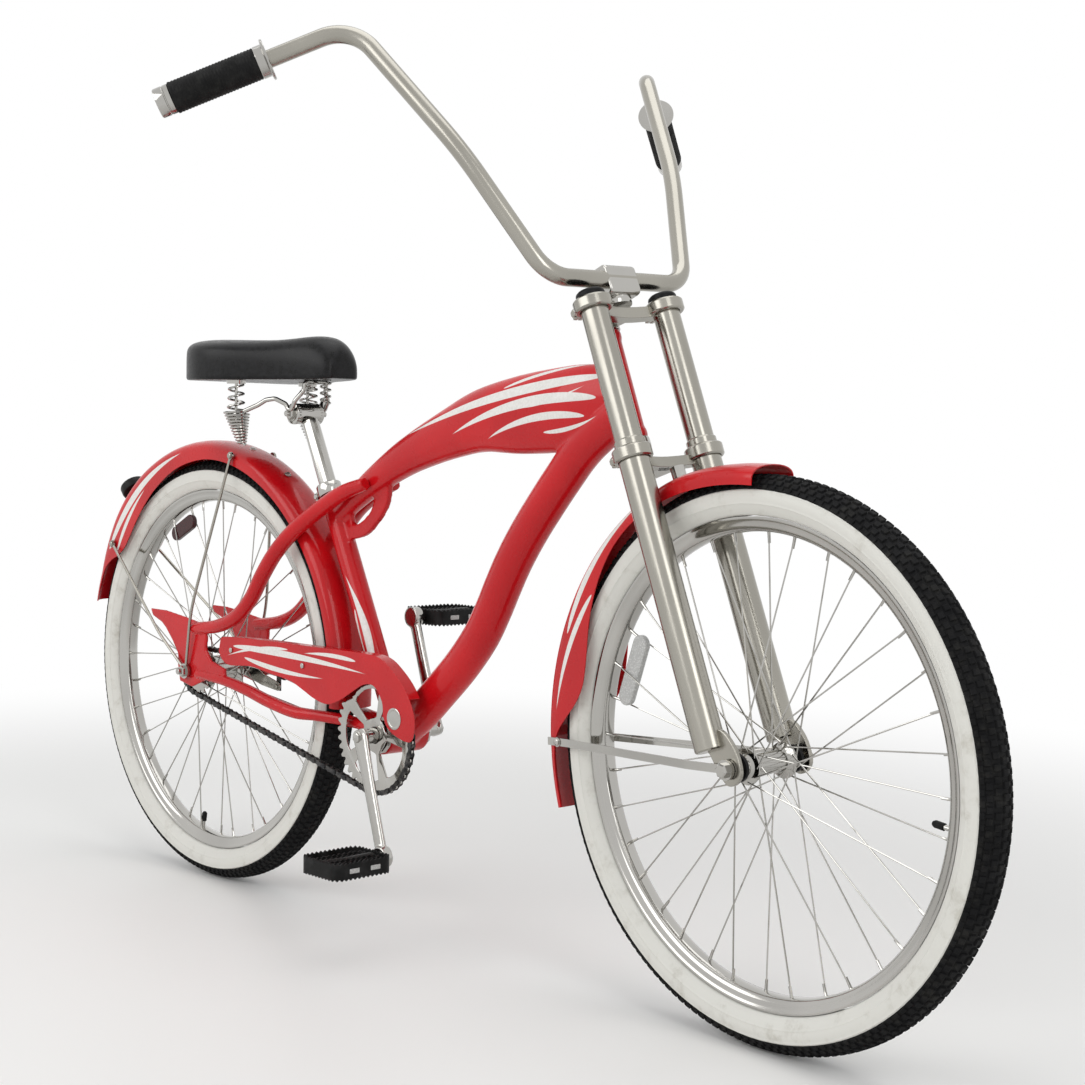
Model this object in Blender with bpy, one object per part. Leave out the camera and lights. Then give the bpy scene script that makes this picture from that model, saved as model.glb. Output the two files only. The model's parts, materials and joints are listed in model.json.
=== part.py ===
"""Chopper bicycle with a double-crown fork, built from separate named pieces.

Lengths are metres. Shapes are written in the ground frame: X forward, Y to the left, Z up,
with the rear axle above the origin. The root empty then moves everything so that the
rider's seat point is the world origin. The steered pieces are written in the steering
frame: u forward, v left, w up along the steering axis. The frame's tubes are written as
shares of the line between the two points that they join, so they follow these points.
"""

import math

import bmesh
import bpy
from mathutils import Matrix, Vector

# Main sizes
RIM_R = 0.2855
RIM_DEPTH = 0.0185
RIM_HALF = 0.0155
TYRE_HEIGHT = 0.048
TYRE_HALF = 0.027
WHEEL_R = RIM_R + TYRE_HEIGHT
RIM_INNER_R = RIM_R - RIM_DEPTH
RIM_SLOPE = 0.55
GAP = 0.0003

# Where the bottom bracket lies ahead of the rear tyre and behind the front one
BRACKET_AHEAD = 0.1211
BRACKET_DROP = 0.0478
TOE_ROOM = 0.3419
WHEELBASE = WHEEL_R + BRACKET_AHEAD + TOE_ROOM + WHEEL_R
REAR_AXLE = Vector((0.0, 0.0, WHEEL_R))
BB = Vector((WHEEL_R + BRACKET_AHEAD, 0.0, WHEEL_R - BRACKET_DROP))

# Steering: w is the height along the steering axis, above the lower end of the head tube
HEAD_TILT = math.radians(21.5)
HEAD_LENGTH = 0.143
STEER_AT_REST = math.radians(-3.5)
LOWER_CROWN_W = (-0.0480, -0.0235)
UPPER_CROWN_W = (HEAD_LENGTH + 0.0090, HEAD_LENGTH + 0.0310)
FORK_ROOM = 0.0439
AXLE_U = 0.0746
AXLE_W = LOWER_CROWN_W[0] - FORK_ROOM - WHEEL_R
HEAD_AXIS = Vector((-math.sin(HEAD_TILT), 0.0, math.cos(HEAD_TILT)))
HEAD_POINT = Vector((
    WHEELBASE - AXLE_U * HEAD_AXIS.z - AXLE_W * HEAD_AXIS.x,
    0.0,
    WHEEL_R + AXLE_U * HEAD_AXIS.x - AXLE_W * HEAD_AXIS.z,
))
LEG_U = 0.055
LEG_V = 0.060
LEG_R = 0.0190
LEG_BOTTOM_W = AXLE_W + 0.0264
STANCHION_R = 0.0170
STANCHION_TOP_W = UPPER_CROWN_W[1] + 0.0022
STEERER_R = 0.0140
BAR_R = 0.0111
BAR_RISE = 0.0205
BAR_U = 0.0470
BAR_W = UPPER_CROWN_W[1] + BAR_RISE
STEM_HALF = 0.0190

# Drive
BB_R = 0.0285
BB_HALF = 0.034
CUP_R = 0.0226
CHAIN_Y = -0.043
RING_TEETH = 40
COG_TEETH = 18
LINK_PITCH = 0.0127
CRANK_DX = 0.070
CRANK_DZ = -0.155
CRANK_EYE_Y = 0.0830
REAR_OLD_HALF = 0.055
DROPOUT_T = 0.006
AXLE_R = 0.0047

# Seat tube, post and saddle. The saddle's height leaves room above the rear fender
SEAT_TILT = math.radians(26.3)
SEAT_TUBE_R = 0.0165
SEAT_TUBE_LENGTH = 0.370
SEAT_POST_R = 0.0127
CLAMP_R = 0.0160
CLAMP_HALF = 0.0260
SADDLE_WIRE_R = 0.0035
FENDER_RISE = 0.0305
SADDLE_ROOM = 0.0284
SEAT_AXIS = Vector((-math.sin(SEAT_TILT), 0.0, math.cos(SEAT_TILT)))
SEAT_AHEAD = Vector((SEAT_AXIS.z, 0.0, -SEAT_AXIS.x))
POST_REACH = (2 * WHEEL_R + FENDER_RISE + SADDLE_ROOM - BB.z) / SEAT_AXIS.z
SEAT_CLUSTER = BB + SEAT_AXIS * SEAT_TUBE_LENGTH
SADDLE_HUB = BB + SEAT_AXIS * (POST_REACH + CLAMP_R + GAP * 1.5) - SEAT_AHEAD * 0.006
RIDER = Vector((round(SADDLE_HUB.x - 0.0394, 3), 0.0, round(SADDLE_HUB.z + 0.1100, 3)))

FINISHES = {
    "red_paint": ((0.62, 0.02, 0.03), 0.25, 0.0),
    "chrome": ((0.80, 0.80, 0.78), 0.12, 1.0),
    "black_rubber": ((0.02, 0.02, 0.02), 0.75, 0.0),
    "tyre_rubber": ((0.02, 0.02, 0.02), 0.80, 0.0),
    "black_vinyl": ((0.03, 0.03, 0.03), 0.45, 0.0),
    "black_steel": ((0.05, 0.05, 0.05), 0.40, 1.0),
    "black_plastic": ((0.03, 0.03, 0.03), 0.35, 0.0),
    "red_lens": ((0.60, 0.02, 0.02), 0.10, 0.0),
}


# Scene and object helpers
def clear_scene():
    for item in list(bpy.data.objects):
        bpy.data.objects.remove(item, do_unlink=True)


def finish_material(slot):
    found = bpy.data.materials.get(slot)
    if found:
        return found
    colour, rough, metal = FINISHES[slot]
    material = bpy.data.materials.new(slot)
    material.use_nodes = True
    shader = material.node_tree.nodes["Principled BSDF"]
    shader.inputs["Base Color"].default_value = (*colour, 1.0)
    shader.inputs["Roughness"].default_value = rough
    shader.inputs["Metallic"].default_value = metal
    return material


def empty(name, parent, matrix):
    item = bpy.data.objects.new(name, None)
    item.empty_display_size = 0.03
    bpy.context.collection.objects.link(item)
    item.parent = parent
    item.matrix_local = matrix
    return item


def add(name, mesh_data, parent, slot, place=None, sharp=32.0):
    """Adds one closed piece. place moves its vertices inside the parent's frame."""
    verts, faces = mesh_data
    mesh = bpy.data.meshes.new(name)
    mesh.from_pydata([tuple(v) for v in verts], [], [tuple(f) for f in faces])
    bm = bmesh.new()
    bm.from_mesh(mesh)
    bmesh.ops.recalc_face_normals(bm, faces=bm.faces)
    bm.to_mesh(mesh)
    bm.free()
    if place is not None:
        mesh.transform(place)
    mesh.shade_smooth()
    mesh.set_sharp_from_angle(angle=math.radians(sharp))
    if slot:
        mesh.materials.append(finish_material(slot))
    item = bpy.data.objects.new(name, mesh)
    bpy.context.collection.objects.link(item)
    item.parent = parent
    return item


def tool(name, mesh_data, target, operation, place=None):
    """Adds a hidden tool body and a Boolean on the target that uses it."""
    item = add(name, mesh_data, target.parent, None, place)
    item.hide_render = True
    item.display_type = "WIRE"
    boolean = target.modifiers.new(name, "BOOLEAN")
    boolean.operation = operation
    boolean.solver = "EXACT"
    boolean.object = item
    return item


def fuse(name, mesh_data, target, place=None):
    return tool("add_" + name, mesh_data, target, "UNION", place)


def cut(name, mesh_data, target, place=None):
    return tool("cut_" + name, mesh_data, target, "DIFFERENCE", place)


# Path helpers
def filleted(points, radii, steps=6):
    """A path with each inner corner rounded to its radius."""
    pts = [Vector(p) for p in points]
    out = [pts[0]]
    for i in range(1, len(pts) - 1):
        corner = pts[i]
        back = (pts[i - 1] - corner).normalized()
        ahead = (pts[i + 1] - corner).normalized()
        half = back.angle(ahead) / 2
        reach = radii[i - 1] / math.tan(half)
        centre = corner + (back + ahead).normalized() * (radii[i - 1] / math.sin(half))
        start = corner + back * reach - centre
        end = corner + ahead * reach - centre
        turn = start.angle(end)
        for s in range(steps + 1):
            t = s / steps
            arm = start * math.sin((1 - t) * turn) + end * math.sin(t * turn)
            out.append(centre + arm / math.sin(turn))
    out.append(pts[-1])
    return out


def frames(path):
    """A tangent and two side directions at each point, carried along without twist."""
    out = []
    side = None
    for i, p in enumerate(path):
        ahead = path[min(i + 1, len(path) - 1)] - path[max(i - 1, 0)]
        ahead.normalize()
        if side is None:
            side = Vector((0, 1, 0)) if abs(ahead.y) < 0.9 else Vector((0, 0, 1))
        side = (side - ahead * side.dot(ahead)).normalized()
        out.append((p, ahead, side, ahead.cross(side)))
    return out


def between(start, end, rows, side=1.0):
    """Points from rows of (share of the way from start to end, y, rise as a share of the way)."""
    way = end - start
    rise = Vector((-way.z, 0.0, way.x))
    return [start + way * t + Vector((0.0, side * y, 0.0)) + rise * up for t, y, up in rows]


# Shape helpers
def skin(rings, closed=False):
    """Joins rings of equal size into a closed body, with end caps unless the path is closed."""
    count = len(rings[0])
    verts = [v for ring in rings for v in ring]
    faces = []
    spans = len(rings) if closed else len(rings) - 1
    for i in range(spans):
        a = i * count
        b = ((i + 1) % len(rings)) * count
        for j in range(count):
            k = (j + 1) % count
            faces.append((a + j, a + k, b + k, b + j))
    if not closed:
        faces.append(tuple(range(count)))
        last = (len(rings) - 1) * count
        faces.append(tuple(reversed(range(last, last + count))))
    return verts, faces


def tube(path, radius, sides=12, flat=1.0, power=1.0):
    """A round or oval bar. radius is one number or one per point; flat scales the side width."""
    rings = []
    for i, (p, _, side, up) in enumerate(frames([Vector(q) for q in path])):
        r = radius[i] if isinstance(radius, (list, tuple)) else radius
        w = flat[i] if isinstance(flat, (list, tuple)) else flat
        ring = []
        for s in range(sides):
            turn = 2 * math.pi * s / sides
            c, n = math.cos(turn), math.sin(turn)
            c = math.copysign(abs(c) ** power, c)
            n = math.copysign(abs(n) ** power, n)
            ring.append(p + side * (c * r * w) + up * (n * r))
        rings.append(ring)
    return skin(rings)


def ring_body(profile, segments, start=0.0):
    """An annular body about the Y axis. profile is a closed list of (y, radius)."""
    rings = []
    for s in range(segments):
        turn = start + 2 * math.pi * s / segments
        rings.append([Vector((r * math.cos(turn), y, r * math.sin(turn))) for y, r in profile])
    return skin(rings, closed=True)


def spin(profile, segments):
    """A solid turned body about the Y axis. profile runs from end to end as (y, radius)."""
    rings = []
    for y, r in profile:
        ring = []
        for s in range(segments):
            turn = 2 * math.pi * s / segments
            ring.append(Vector((r * math.cos(turn), y, r * math.sin(turn))))
        rings.append(ring)
    return skin(rings)


def prism(outline, low, high):
    """A flat plate along Y with the given (x, z) outline."""
    rings = [[Vector((x, y, z)) for x, z in outline] for y in (low, high)]
    return skin(rings)


def box(low, high):
    (x0, y0, z0), (x1, y1, z1) = low, high
    return prism([(x0, z0), (x1, z0), (x1, z1), (x0, z1)], y0, y1)


def strap(points, across, width, thick):
    """A flat bar bent along some points. across is the direction of its width."""
    rings = []
    for p, ahead, _, _ in frames([Vector(q) for q in points]):
        wide = Vector(across)
        wide = (wide - ahead * wide.dot(ahead)).normalized() * (width / 2)
        deep = ahead.cross(wide).normalized() * (thick / 2)
        rings.append([p + wide + deep, p - wide + deep, p - wide - deep, p + wide - deep])
    return skin(rings)


def fit(radius, segments):
    """The corner radius of a faceted hole whose flats clear a bar of this radius by the gap."""
    return (radius + GAP) / math.cos(math.pi / segments)


def circle_points(centre, radius, count):
    out = []
    for s in range(count):
        turn = 2 * math.pi * s / count
        out.append((centre[0] + radius * math.cos(turn), centre[1] + radius * math.sin(turn)))
    return out


def hull_outline(circles, count=12):
    """The outline of the convex web around some circles, each given as (x, z, radius)."""
    pts = []
    for x, z, r in circles:
        pts += circle_points((x, z), r, count)
    pts = sorted(set(pts))
    sides = []
    for order in (pts, pts[::-1]):
        line = []
        for p in order:
            while len(line) > 1:
                (ax, az), (bx, bz) = line[-2], line[-1]
                if (bx - ax) * (p[1] - az) - (bz - az) * (p[0] - ax) > 1e-12:
                    break
                line.pop()
            line.append(p)
        sides += line[:-1]
    return sides


def along(start, direction):
    """A matrix that turns the Y axis of a shape to the direction and moves it to the start."""
    turn = Vector((0, 1, 0)).rotation_difference(Vector(direction)).to_matrix().to_4x4()
    return Matrix.Translation(Vector(start)) @ turn


def both(name):
    """The right and the left name of a piece with the sign of Y on that side."""
    return ((name + "_r", -1.0), (name + "_l", 1.0))


# Empties that carry the pieces
def steering_matrix():
    return (
        Matrix.Translation(HEAD_POINT)
        @ Matrix.Rotation(-HEAD_TILT, 4, "Y")
        @ Matrix.Rotation(STEER_AT_REST, 4, "Z")
    )


def wheel_in_steering():
    return Matrix.Translation((AXLE_U, 0, AXLE_W)) @ Matrix.Rotation(HEAD_TILT, 4, "Y")


def make_rig():
    root = empty("bicycle", None, Matrix.Translation(-RIDER))
    steering = empty("steering_axis", root, steering_matrix())
    rig = {
        "root": root,
        "steering": steering,
        "front": empty("front_wheel_axis", steering, wheel_in_steering()),
        "rear": empty("rear_wheel_axis", root, Matrix.Translation(REAR_AXLE)),
        "cog": empty("rear_sprocket_axis", root, Matrix.Translation(REAR_AXLE)),
        "crank": empty("crank_axis", root, Matrix.Translation(BB)),
    }
    for name, sign in both("pedal_axis"):
        spot = Vector((-sign * CRANK_DX, 0.0, -sign * CRANK_DZ))
        rig[name] = empty(name, rig["crank"], Matrix.Translation(spot))
    return rig


# Frame
TOP_TUBE = [
    # share of the way from the seat cluster to the neck, rise, half height, width to height
    (1.0034, -0.0366, 0.0460, 0.38), (0.9134, -0.0160, 0.0530, 0.46),
    (0.8236, -0.0014, 0.0545, 0.50), (0.7046, 0.0190, 0.0515, 0.54),
    (0.5853, 0.0377, 0.0430, 0.62), (0.4710, 0.0365, 0.0350, 0.68),
    (0.3618, 0.0288, 0.0290, 0.74), (0.2790, 0.0178, 0.0250, 0.80),
    (0.1908, -0.0012, 0.0208, 0.88), (0.1121, -0.0227, 0.0172, 0.94),
    (0.0280, -0.0521, 0.0135, 1.0),
]
DOWN_TUBE = [
    # share of the way from the bottom bracket to the neck, y, rise
    (0.9694, 0, -0.0466), (0.9189, 0, -0.0267), (0.8461, 0, -0.0099), (0.7658, 0, -0.0058),
    (0.6136, 0, -0.0069), (0.5448, 0, -0.0134), (0.4823, 0, -0.0248), (0.4230, 0, -0.0375),
    (0.3550, 0, -0.0474), (0.2691, 0, -0.0463), (0.1749, 0, -0.0357), (0.0147, 0, -0.0066),
]
DOWN_TUBE_R = 0.0262
GUSSET = [
    # x and z from the seat cluster
    (0.1393, 0.0266), (0.1363, -0.0064), (0.1133, -0.0344), (0.0863, -0.0544),
    (0.0523, -0.0624), (0.0253, -0.0644), (0.0173, -0.0224), (0.0573, -0.0004),
]
GUSSET_SLOT = [
    (0.1073, -0.0004), (0.1003, -0.0164), (0.0753, -0.0364), (0.0583, -0.0394),
    (0.0533, -0.0324), (0.0603, -0.0204), (0.0873, -0.0044),
]


def seat_axis_point(distance):
    return BB + SEAT_AXIS * distance


def build_main_frame(root):
    """Head tube, arched top tube, curved down tube, seat tube and bracket shell in one weldment."""
    lip = 0.0205
    wall = 0.0190
    head = add(
        "main_frame",
        spin([(0.0, wall), (0.004, lip), (0.014, wall), (HEAD_LENGTH - 0.014, wall),
              (HEAD_LENGTH - 0.004, lip), (HEAD_LENGTH, wall)], 18),
        root, "red_paint", along(HEAD_POINT, HEAD_AXIS))
    neck = HEAD_POINT + HEAD_AXIS * (HEAD_LENGTH / 2)
    top_line = between(SEAT_CLUSTER, neck, [(t, 0.0, up) for t, up, _, _ in TOP_TUBE])
    half = [row[2] for row in TOP_TUBE]
    width = [row[3] for row in TOP_TUBE]
    fuse("top_tube", tube(top_line, half, 14, width, 0.90), head)
    fuse("down_tube", tube(between(BB, neck, DOWN_TUBE), DOWN_TUBE_R, 12, 0.94), head)
    fuse("seat_tube", spin([(0.0, SEAT_TUBE_R), (SEAT_TUBE_LENGTH - 0.006, SEAT_TUBE_R),
                            (SEAT_TUBE_LENGTH, SEAT_TUBE_R - 0.001)], 14), head,
         along(BB, SEAT_AXIS))
    fuse("bracket_shell", spin([(-BB_HALF, BB_R), (BB_HALF, BB_R)], 18), head,
         Matrix.Translation(BB))
    cluster = Matrix.Translation(SEAT_CLUSTER)
    fuse("gusset", prism(GUSSET, -0.004, 0.004), head, cluster)
    cut("gusset_slot", prism(GUSSET_SLOT, -0.01, 0.01), head, cluster)
    cut("head_bore", spin([(-0.02, STEERER_R + 0.003), (HEAD_LENGTH + 0.02, STEERER_R + 0.003)],
                          14), head, along(HEAD_POINT, HEAD_AXIS))
    cut("seat_bore", spin([(SEAT_TUBE_LENGTH - 0.160, fit(SEAT_POST_R, 14)),
                           (SEAT_TUBE_LENGTH + 0.020, fit(SEAT_POST_R, 14))], 14), head,
        along(BB, SEAT_AXIS))
    bore = fit(CUP_R, 14)
    cut("bracket_bore", spin([(-BB_HALF - 0.02, bore), (BB_HALF + 0.02, bore)], 14), head,
        Matrix.Translation(BB))
    return head


def build_headset(root):
    """Bearing cups in both ends of the head tube. The steerer turns inside them."""
    bore = fit(STEERER_R + 0.0004, 12)
    cup = [(-0.020, bore), (-0.020, 0.0190), (-0.014, 0.0215), (-GAP, 0.0215), (-GAP, bore)]
    add("headset_lower", ring_body(cup, 12), root, "chrome", along(HEAD_POINT, HEAD_AXIS))
    top = HEAD_POINT + HEAD_AXIS * HEAD_LENGTH
    cup_up = [(GAP, bore), (GAP, 0.0215), (0.005, 0.0215), (0.0085, 0.0190), (0.0085, bore)]
    add("headset_upper", ring_body(cup_up, 12), root, "chrome", along(top, HEAD_AXIS))


SEAT_STAY = [
    # share of the way from the seat cluster to the rear axle, y, rise, radius
    (-0.2385, 0.0270, 0.1621, 0.0095), (-0.1300, 0.0320, 0.1077, 0.0115),
    (-0.0007, 0.0365, 0.0674, 0.0120), (0.1406, 0.0465, 0.0430, 0.0120),
    (0.2607, 0.0530, 0.0392, 0.0120), (0.3807, 0.0550, 0.0493, 0.0120),
    (0.4901, 0.0560, 0.0662, 0.0115), (0.6121, 0.0570, 0.0537, 0.0110),
    (0.7311, 0.0580, -0.0006, 0.0105), (0.8558, 0.0585, -0.0948, 0.0090),
]
CHAIN_STAY = [
    # share of the way from the bottom bracket to the rear axle, y, rise, radius
    (0.0657, 0.0245, -0.0058, 0.0085), (0.1490, 0.0250, -0.0026, 0.0085),
    (0.2255, 0.0290, 0.0021, 0.0085), (0.3172, 0.0400, 0.0085, 0.0085),
    (0.4109, 0.0470, 0.0172, 0.0095), (0.5370, 0.0520, 0.0096, 0.0095),
    (0.6529, 0.0560, -0.0046, 0.0090), (0.7812, 0.0590, -0.0109, 0.0080),
    (0.9387, 0.0610, -0.0031, 0.0070),
]
DROPOUT = [
    # x and z from the rear axle, along the fin, the mouth and the foot
    (-0.1120, 0.0905), (-0.0670, 0.0905), (-0.0130, 0.0845), (0.0320, 0.0785), (0.0520, 0.0585),
    (0.0490, 0.0385), (0.0640, 0.0215), (0.1020, 0.0125), (0.1030, 0.0005), (0.0440, -0.0115),
    (0.0100, -0.0245), (-0.0240, -0.0185), (-0.0300, 0.0065), (-0.0300, 0.0245),
    (-0.0460, 0.0435), (-0.0660, 0.0625), (-0.0780, 0.0705), (-0.1050, 0.0795),
]


def build_rear_triangle(root):
    """One welded side each: seat stay, chain stay and dropout plate with its fin."""
    place = Matrix.Translation(REAR_AXLE)
    for name, sign in both("rear_stays"):
        low, high = sorted((sign * REAR_OLD_HALF, sign * (REAR_OLD_HALF + DROPOUT_T)))
        plate = add(name, prism(DROPOUT, low, high), root, "red_paint", place)
        for tag, start, rows in (("seat_", SEAT_CLUSTER, SEAT_STAY), ("chain_", BB, CHAIN_STAY)):
            line = between(start, REAR_AXLE, [row[:3] for row in rows], sign)
            fuse(tag + name, tube(line, [row[3] for row in rows], 8), plate)
        cut("hole_" + name, spin([(low - 0.02, AXLE_R + GAP), (high + 0.02, AXLE_R + GAP)], 12),
            plate, place)


def build_seat(root):
    """Post, its clamp on the seat tube and the clamp under the saddle."""
    post_low = SEAT_TUBE_LENGTH - 0.145
    add("seat_post", spin([(post_low, SEAT_POST_R), (POST_REACH, SEAT_POST_R)], 16),
        root, "chrome", along(BB, SEAT_AXIS))
    bore = fit(SEAT_POST_R, 14)
    collar = ring_body([(0.0, bore), (0.0, 0.0185), (0.018, 0.0185), (0.018, bore)], 14)
    add("seat_clamp", collar, root, "chrome",
        along(seat_axis_point(SEAT_TUBE_LENGTH + GAP), SEAT_AXIS))
    body = spin([(-CLAMP_HALF, CLAMP_R - 0.004), (0.002 - CLAMP_HALF, CLAMP_R),
                 (CLAMP_HALF - 0.002, CLAMP_R), (CLAMP_HALF, CLAMP_R - 0.004)], 16)
    add("saddle_clamp", body, root, "chrome", Matrix.Translation(SADDLE_HUB))


SADDLE_STATIONS = [
    # x, half width, underside z, top z and edge z, from the middle of the saddle's clamp
    (-0.1864, 0.064, 0.061, 0.102, 0.080),
    (-0.1744, 0.094, 0.053, 0.110, 0.079),
    (-0.1484, 0.112, 0.050, 0.115, 0.079),
    (-0.1134, 0.117, 0.049, 0.116, 0.079),
    (-0.0744, 0.108, 0.049, 0.113, 0.077),
    (-0.0364, 0.083, 0.050, 0.110, 0.075),
    (-0.0014, 0.060, 0.051, 0.110, 0.075),
    (0.0326, 0.045, 0.052, 0.112, 0.075),
    (0.0626, 0.039, 0.053, 0.112, 0.077),
    (0.0866, 0.032, 0.056, 0.108, 0.079),
    (0.0996, 0.020, 0.064, 0.099, 0.081),
]


def saddle_body():
    rings = []
    sides = 16
    for x, half, low, high, edge in SADDLE_STATIONS:
        ring = []
        for s in range(sides):
            turn = 2 * math.pi * s / sides
            c, n = math.cos(turn), math.sin(turn)
            c = math.copysign(abs(c) ** 0.75, c)
            n = math.copysign(abs(n) ** 0.75, n)
            z = edge + n * ((high - edge) if n > 0 else (edge - low))
            ring.append(Vector((x, half * c, z)))
        rings.append(ring)
    return skin(rings)


SADDLE_SPRING = [
    # x of the coil's centre, coil radius, z, turns up to the next row, from the saddle's clamp
    (-0.0694, 0.0055, -0.0475, 5.0), (-0.0844, 0.0195, 0.0020, 0.6),
    (-0.0859, 0.0120, 0.0085, 2.4), (-0.0859, 0.0120, 0.0510, 0.0),
]
SPRING_Y = 0.066
SPRING_WIRE_R = 0.0021


def spring_body(side_y, sides=4, steps=5):
    """A coil spring wound in one run from the narrow lower end to the saddle."""
    path = []
    turned = 0.0
    for (x0, r0, z0, turns), (x1, r1, z1, _) in zip(SADDLE_SPRING, SADDLE_SPRING[1:]):
        count = max(2, int(turns * steps))
        for s in range(count):
            t = s / count
            turn = 2 * math.pi * (turned + turns * t)
            r = r0 + (r1 - r0) * t
            centre_x = x0 + (x1 - x0) * t
            path.append(Vector((centre_x + r * math.cos(turn), side_y + r * math.sin(turn),
                                z0 + (z1 - z0) * t)))
        turned += turns
    return tube(path, SPRING_WIRE_R, sides)


def build_saddle(root):
    """Padded saddle, its two rear springs and the bent wire that carries them."""
    place = Matrix.Translation(SADDLE_HUB)
    add("saddle", saddle_body(), root, "black_vinyl", place, sharp=50.0)
    for name, sign in both("saddle_spring"):
        add(name, spring_body(sign * SPRING_Y), root, "chrome", place)
    ring = SADDLE_SPRING[1]
    reach = ring[0] + ring[1] + SPRING_WIRE_R + 2 * GAP
    beside = CLAMP_HALF + SADDLE_WIRE_R + 2 * GAP
    side = [(reach, SPRING_Y, ring[2] + 0.001), (-0.0399, 0.0580, 0.0122),
            (-0.0280, 0.0520, 0.0197), (-0.0149, 0.0450, 0.0220), (-0.0040, beside + 0.003, 0.0140),
            (0.0030, beside, 0.0), (0.0151, beside, 0.0190), (0.0226, 0.0200, 0.0340),
            (0.0256, 0.0190, 0.0478)]
    bends = [0.010, 0.010, 0.010, 0.008, 0.006, 0.008, 0.008, 0.005]
    line = [(x, -y, z) for x, y, z in side] + side[::-1]
    add("saddle_frame", tube(filleted(line, bends + bends[::-1], 1), SADDLE_WIRE_R, 5), root,
        "chrome", place)


# Fenders
FENDER_HALF = 0.0355
FENDER_T = 0.0020
FRONT_FENDER = [
    # polar angle in degrees, then the skirt's edge and the crown above the tyre's tread
    (88.5, -0.0125, 0.0110), (94.0, -0.0115, 0.0125), (102.0, -0.0095, 0.0150),
    (110.0, -0.0070, 0.0180), (118.0, -0.0045, 0.0185), (126.0, -0.0035, 0.0185),
    (134.0, -0.0070, 0.0185), (142.0, -0.0155, 0.0185), (150.0, -0.0275, 0.0185),
    (159.0, -0.0425, 0.0185), (165.0, -0.0475, 0.0185), (169.0, -0.0455, 0.0185),
    (173.0, -0.0365, 0.0185), (177.0, -0.0205, 0.0185), (181.0, -0.0045, 0.0185),
    (186.0, 0.0015, 0.0185), (197.0, 0.0015, 0.0185),
]
REAR_FENDER = [
    (-4.0, 0.0045, 0.0245), (14.0, 0.0025, 0.0245), (30.0, 0.0025, 0.0245),
    (46.0, 0.0020, 0.0245), (60.0, 0.0015, 0.0255), (74.0, 0.0015, 0.0275),
    (86.0, 0.0005, 0.0295), (94.0, -0.0025, FENDER_RISE), (104.0, -0.0075, FENDER_RISE),
    (114.0, -0.0155, FENDER_RISE), (124.0, -0.0245, FENDER_RISE), (132.0, -0.0315, 0.0295),
    (138.0, -0.0355, 0.0275), (143.0, -0.0345, 0.0245), (147.0, -0.0255, 0.0220),
    (150.5, -0.0125, 0.0195), (154.0, -0.0035, 0.0170), (159.0, -0.0005, 0.0135),
    (165.0, 0.0, 0.0115),
]


def fender_body(stations, half=FENDER_HALF, thick=FENDER_T):
    """A fender shell lofted through the stations, with a rounded crown and two skirts."""
    rings = []
    for angle, edge_rise, crown_rise in stations:
        turn = math.radians(angle)
        edge = WHEEL_R + edge_rise
        crown = WHEEL_R + crown_rise
        shoulder = max(crown - 0.016, edge + 0.0005)
        haunch = max(crown - 0.006, shoulder + 0.0005)
        outer = [(half, edge), (half, shoulder), (half * 0.80, haunch), (0.0, crown)]
        inner = [(half - thick, edge), (half - thick, shoulder - 0.0001),
                 (half * 0.80 - thick * 0.7, haunch - thick), (0.0, crown - thick)]
        line = outer + [(-y, r) for y, r in outer[-2::-1]]
        line += [(-y, r) for y, r in inner] + [(y, r) for y, r in inner[-2::-1]]
        rings.append([Vector((r * math.cos(turn), y, r * math.sin(turn))) for y, r in line])
    return skin(rings)


def polar(radius, angle, y=0.0):
    turn = math.radians(angle)
    return Vector((radius * math.cos(turn), y, radius * math.sin(turn)))


def build_rear_fender(root):
    place = Matrix.Translation(REAR_AXLE)
    add("rear_fender", fender_body(REAR_FENDER), root, "red_paint", place)
    out = FENDER_HALF + 0.0032 + GAP
    for name, sign in both("rear_fender_stay"):
        upper = polar(WHEEL_R + 0.0165, 76.0, sign * out)
        back = polar(WHEEL_R - 0.0075, 145.0, sign * out)
        eye = add(name, ring_body([(-0.0015, fit(AXLE_R, 10)), (-0.0015, 0.010), (0.0015, 0.010),
                                   (0.0015, fit(AXLE_R, 10))], 10), root, "chrome",
                  place @ Matrix.Translation(Vector((0, sign * 0.0640, 0))))
        for tag, tip in (("up_", upper), ("back_", back)):
            outward = Vector((tip.x, 0.0, tip.z)).normalized()
            foot = Vector((0.0, sign * 0.0648, 0.0)) + outward * 0.0085
            knee = foot.lerp(tip, 0.30)
            knee.y = sign * (0.0735 if tag == "up_" else 0.0665)
            rod = tube([foot, knee, tip], 0.0024, 6)
            fuse(tag + name, rod, eye, place)
            fuse("pad_" + tag + name, spin([(-0.0032, 0.0060), (0.0032, 0.0060)], 8), eye,
                 place @ Matrix.Translation(tip))
    lens = place @ along(polar(WHEEL_R + 0.0295 + GAP, 133.0), polar(1.0, 133.0))
    add("rear_reflector", spin([(0.0, 0.006), (0.012, 0.006), (0.012, 0.020), (0.016, 0.023),
                                (0.026, 0.023), (0.028, 0.021)], 12), root, "black_plastic", lens)
    add("rear_reflector_lens", spin([(0.0283, 0.020), (0.0300, 0.020), (0.0312, 0.014)], 12),
        root, "red_lens", lens)


# Wheels
def tyre_body(segments=36):
    profile = [(RIM_HALF, RIM_R + GAP), (TYRE_HALF, RIM_R + TYRE_HEIGHT * 0.42),
               (TYRE_HALF * 0.78, RIM_R + TYRE_HEIGHT * 0.88), (0.0, WHEEL_R)]
    profile = profile + [(-y, r) for y, r in profile[-2::-1]]
    return ring_body(profile, segments, math.pi / 2)


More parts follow.
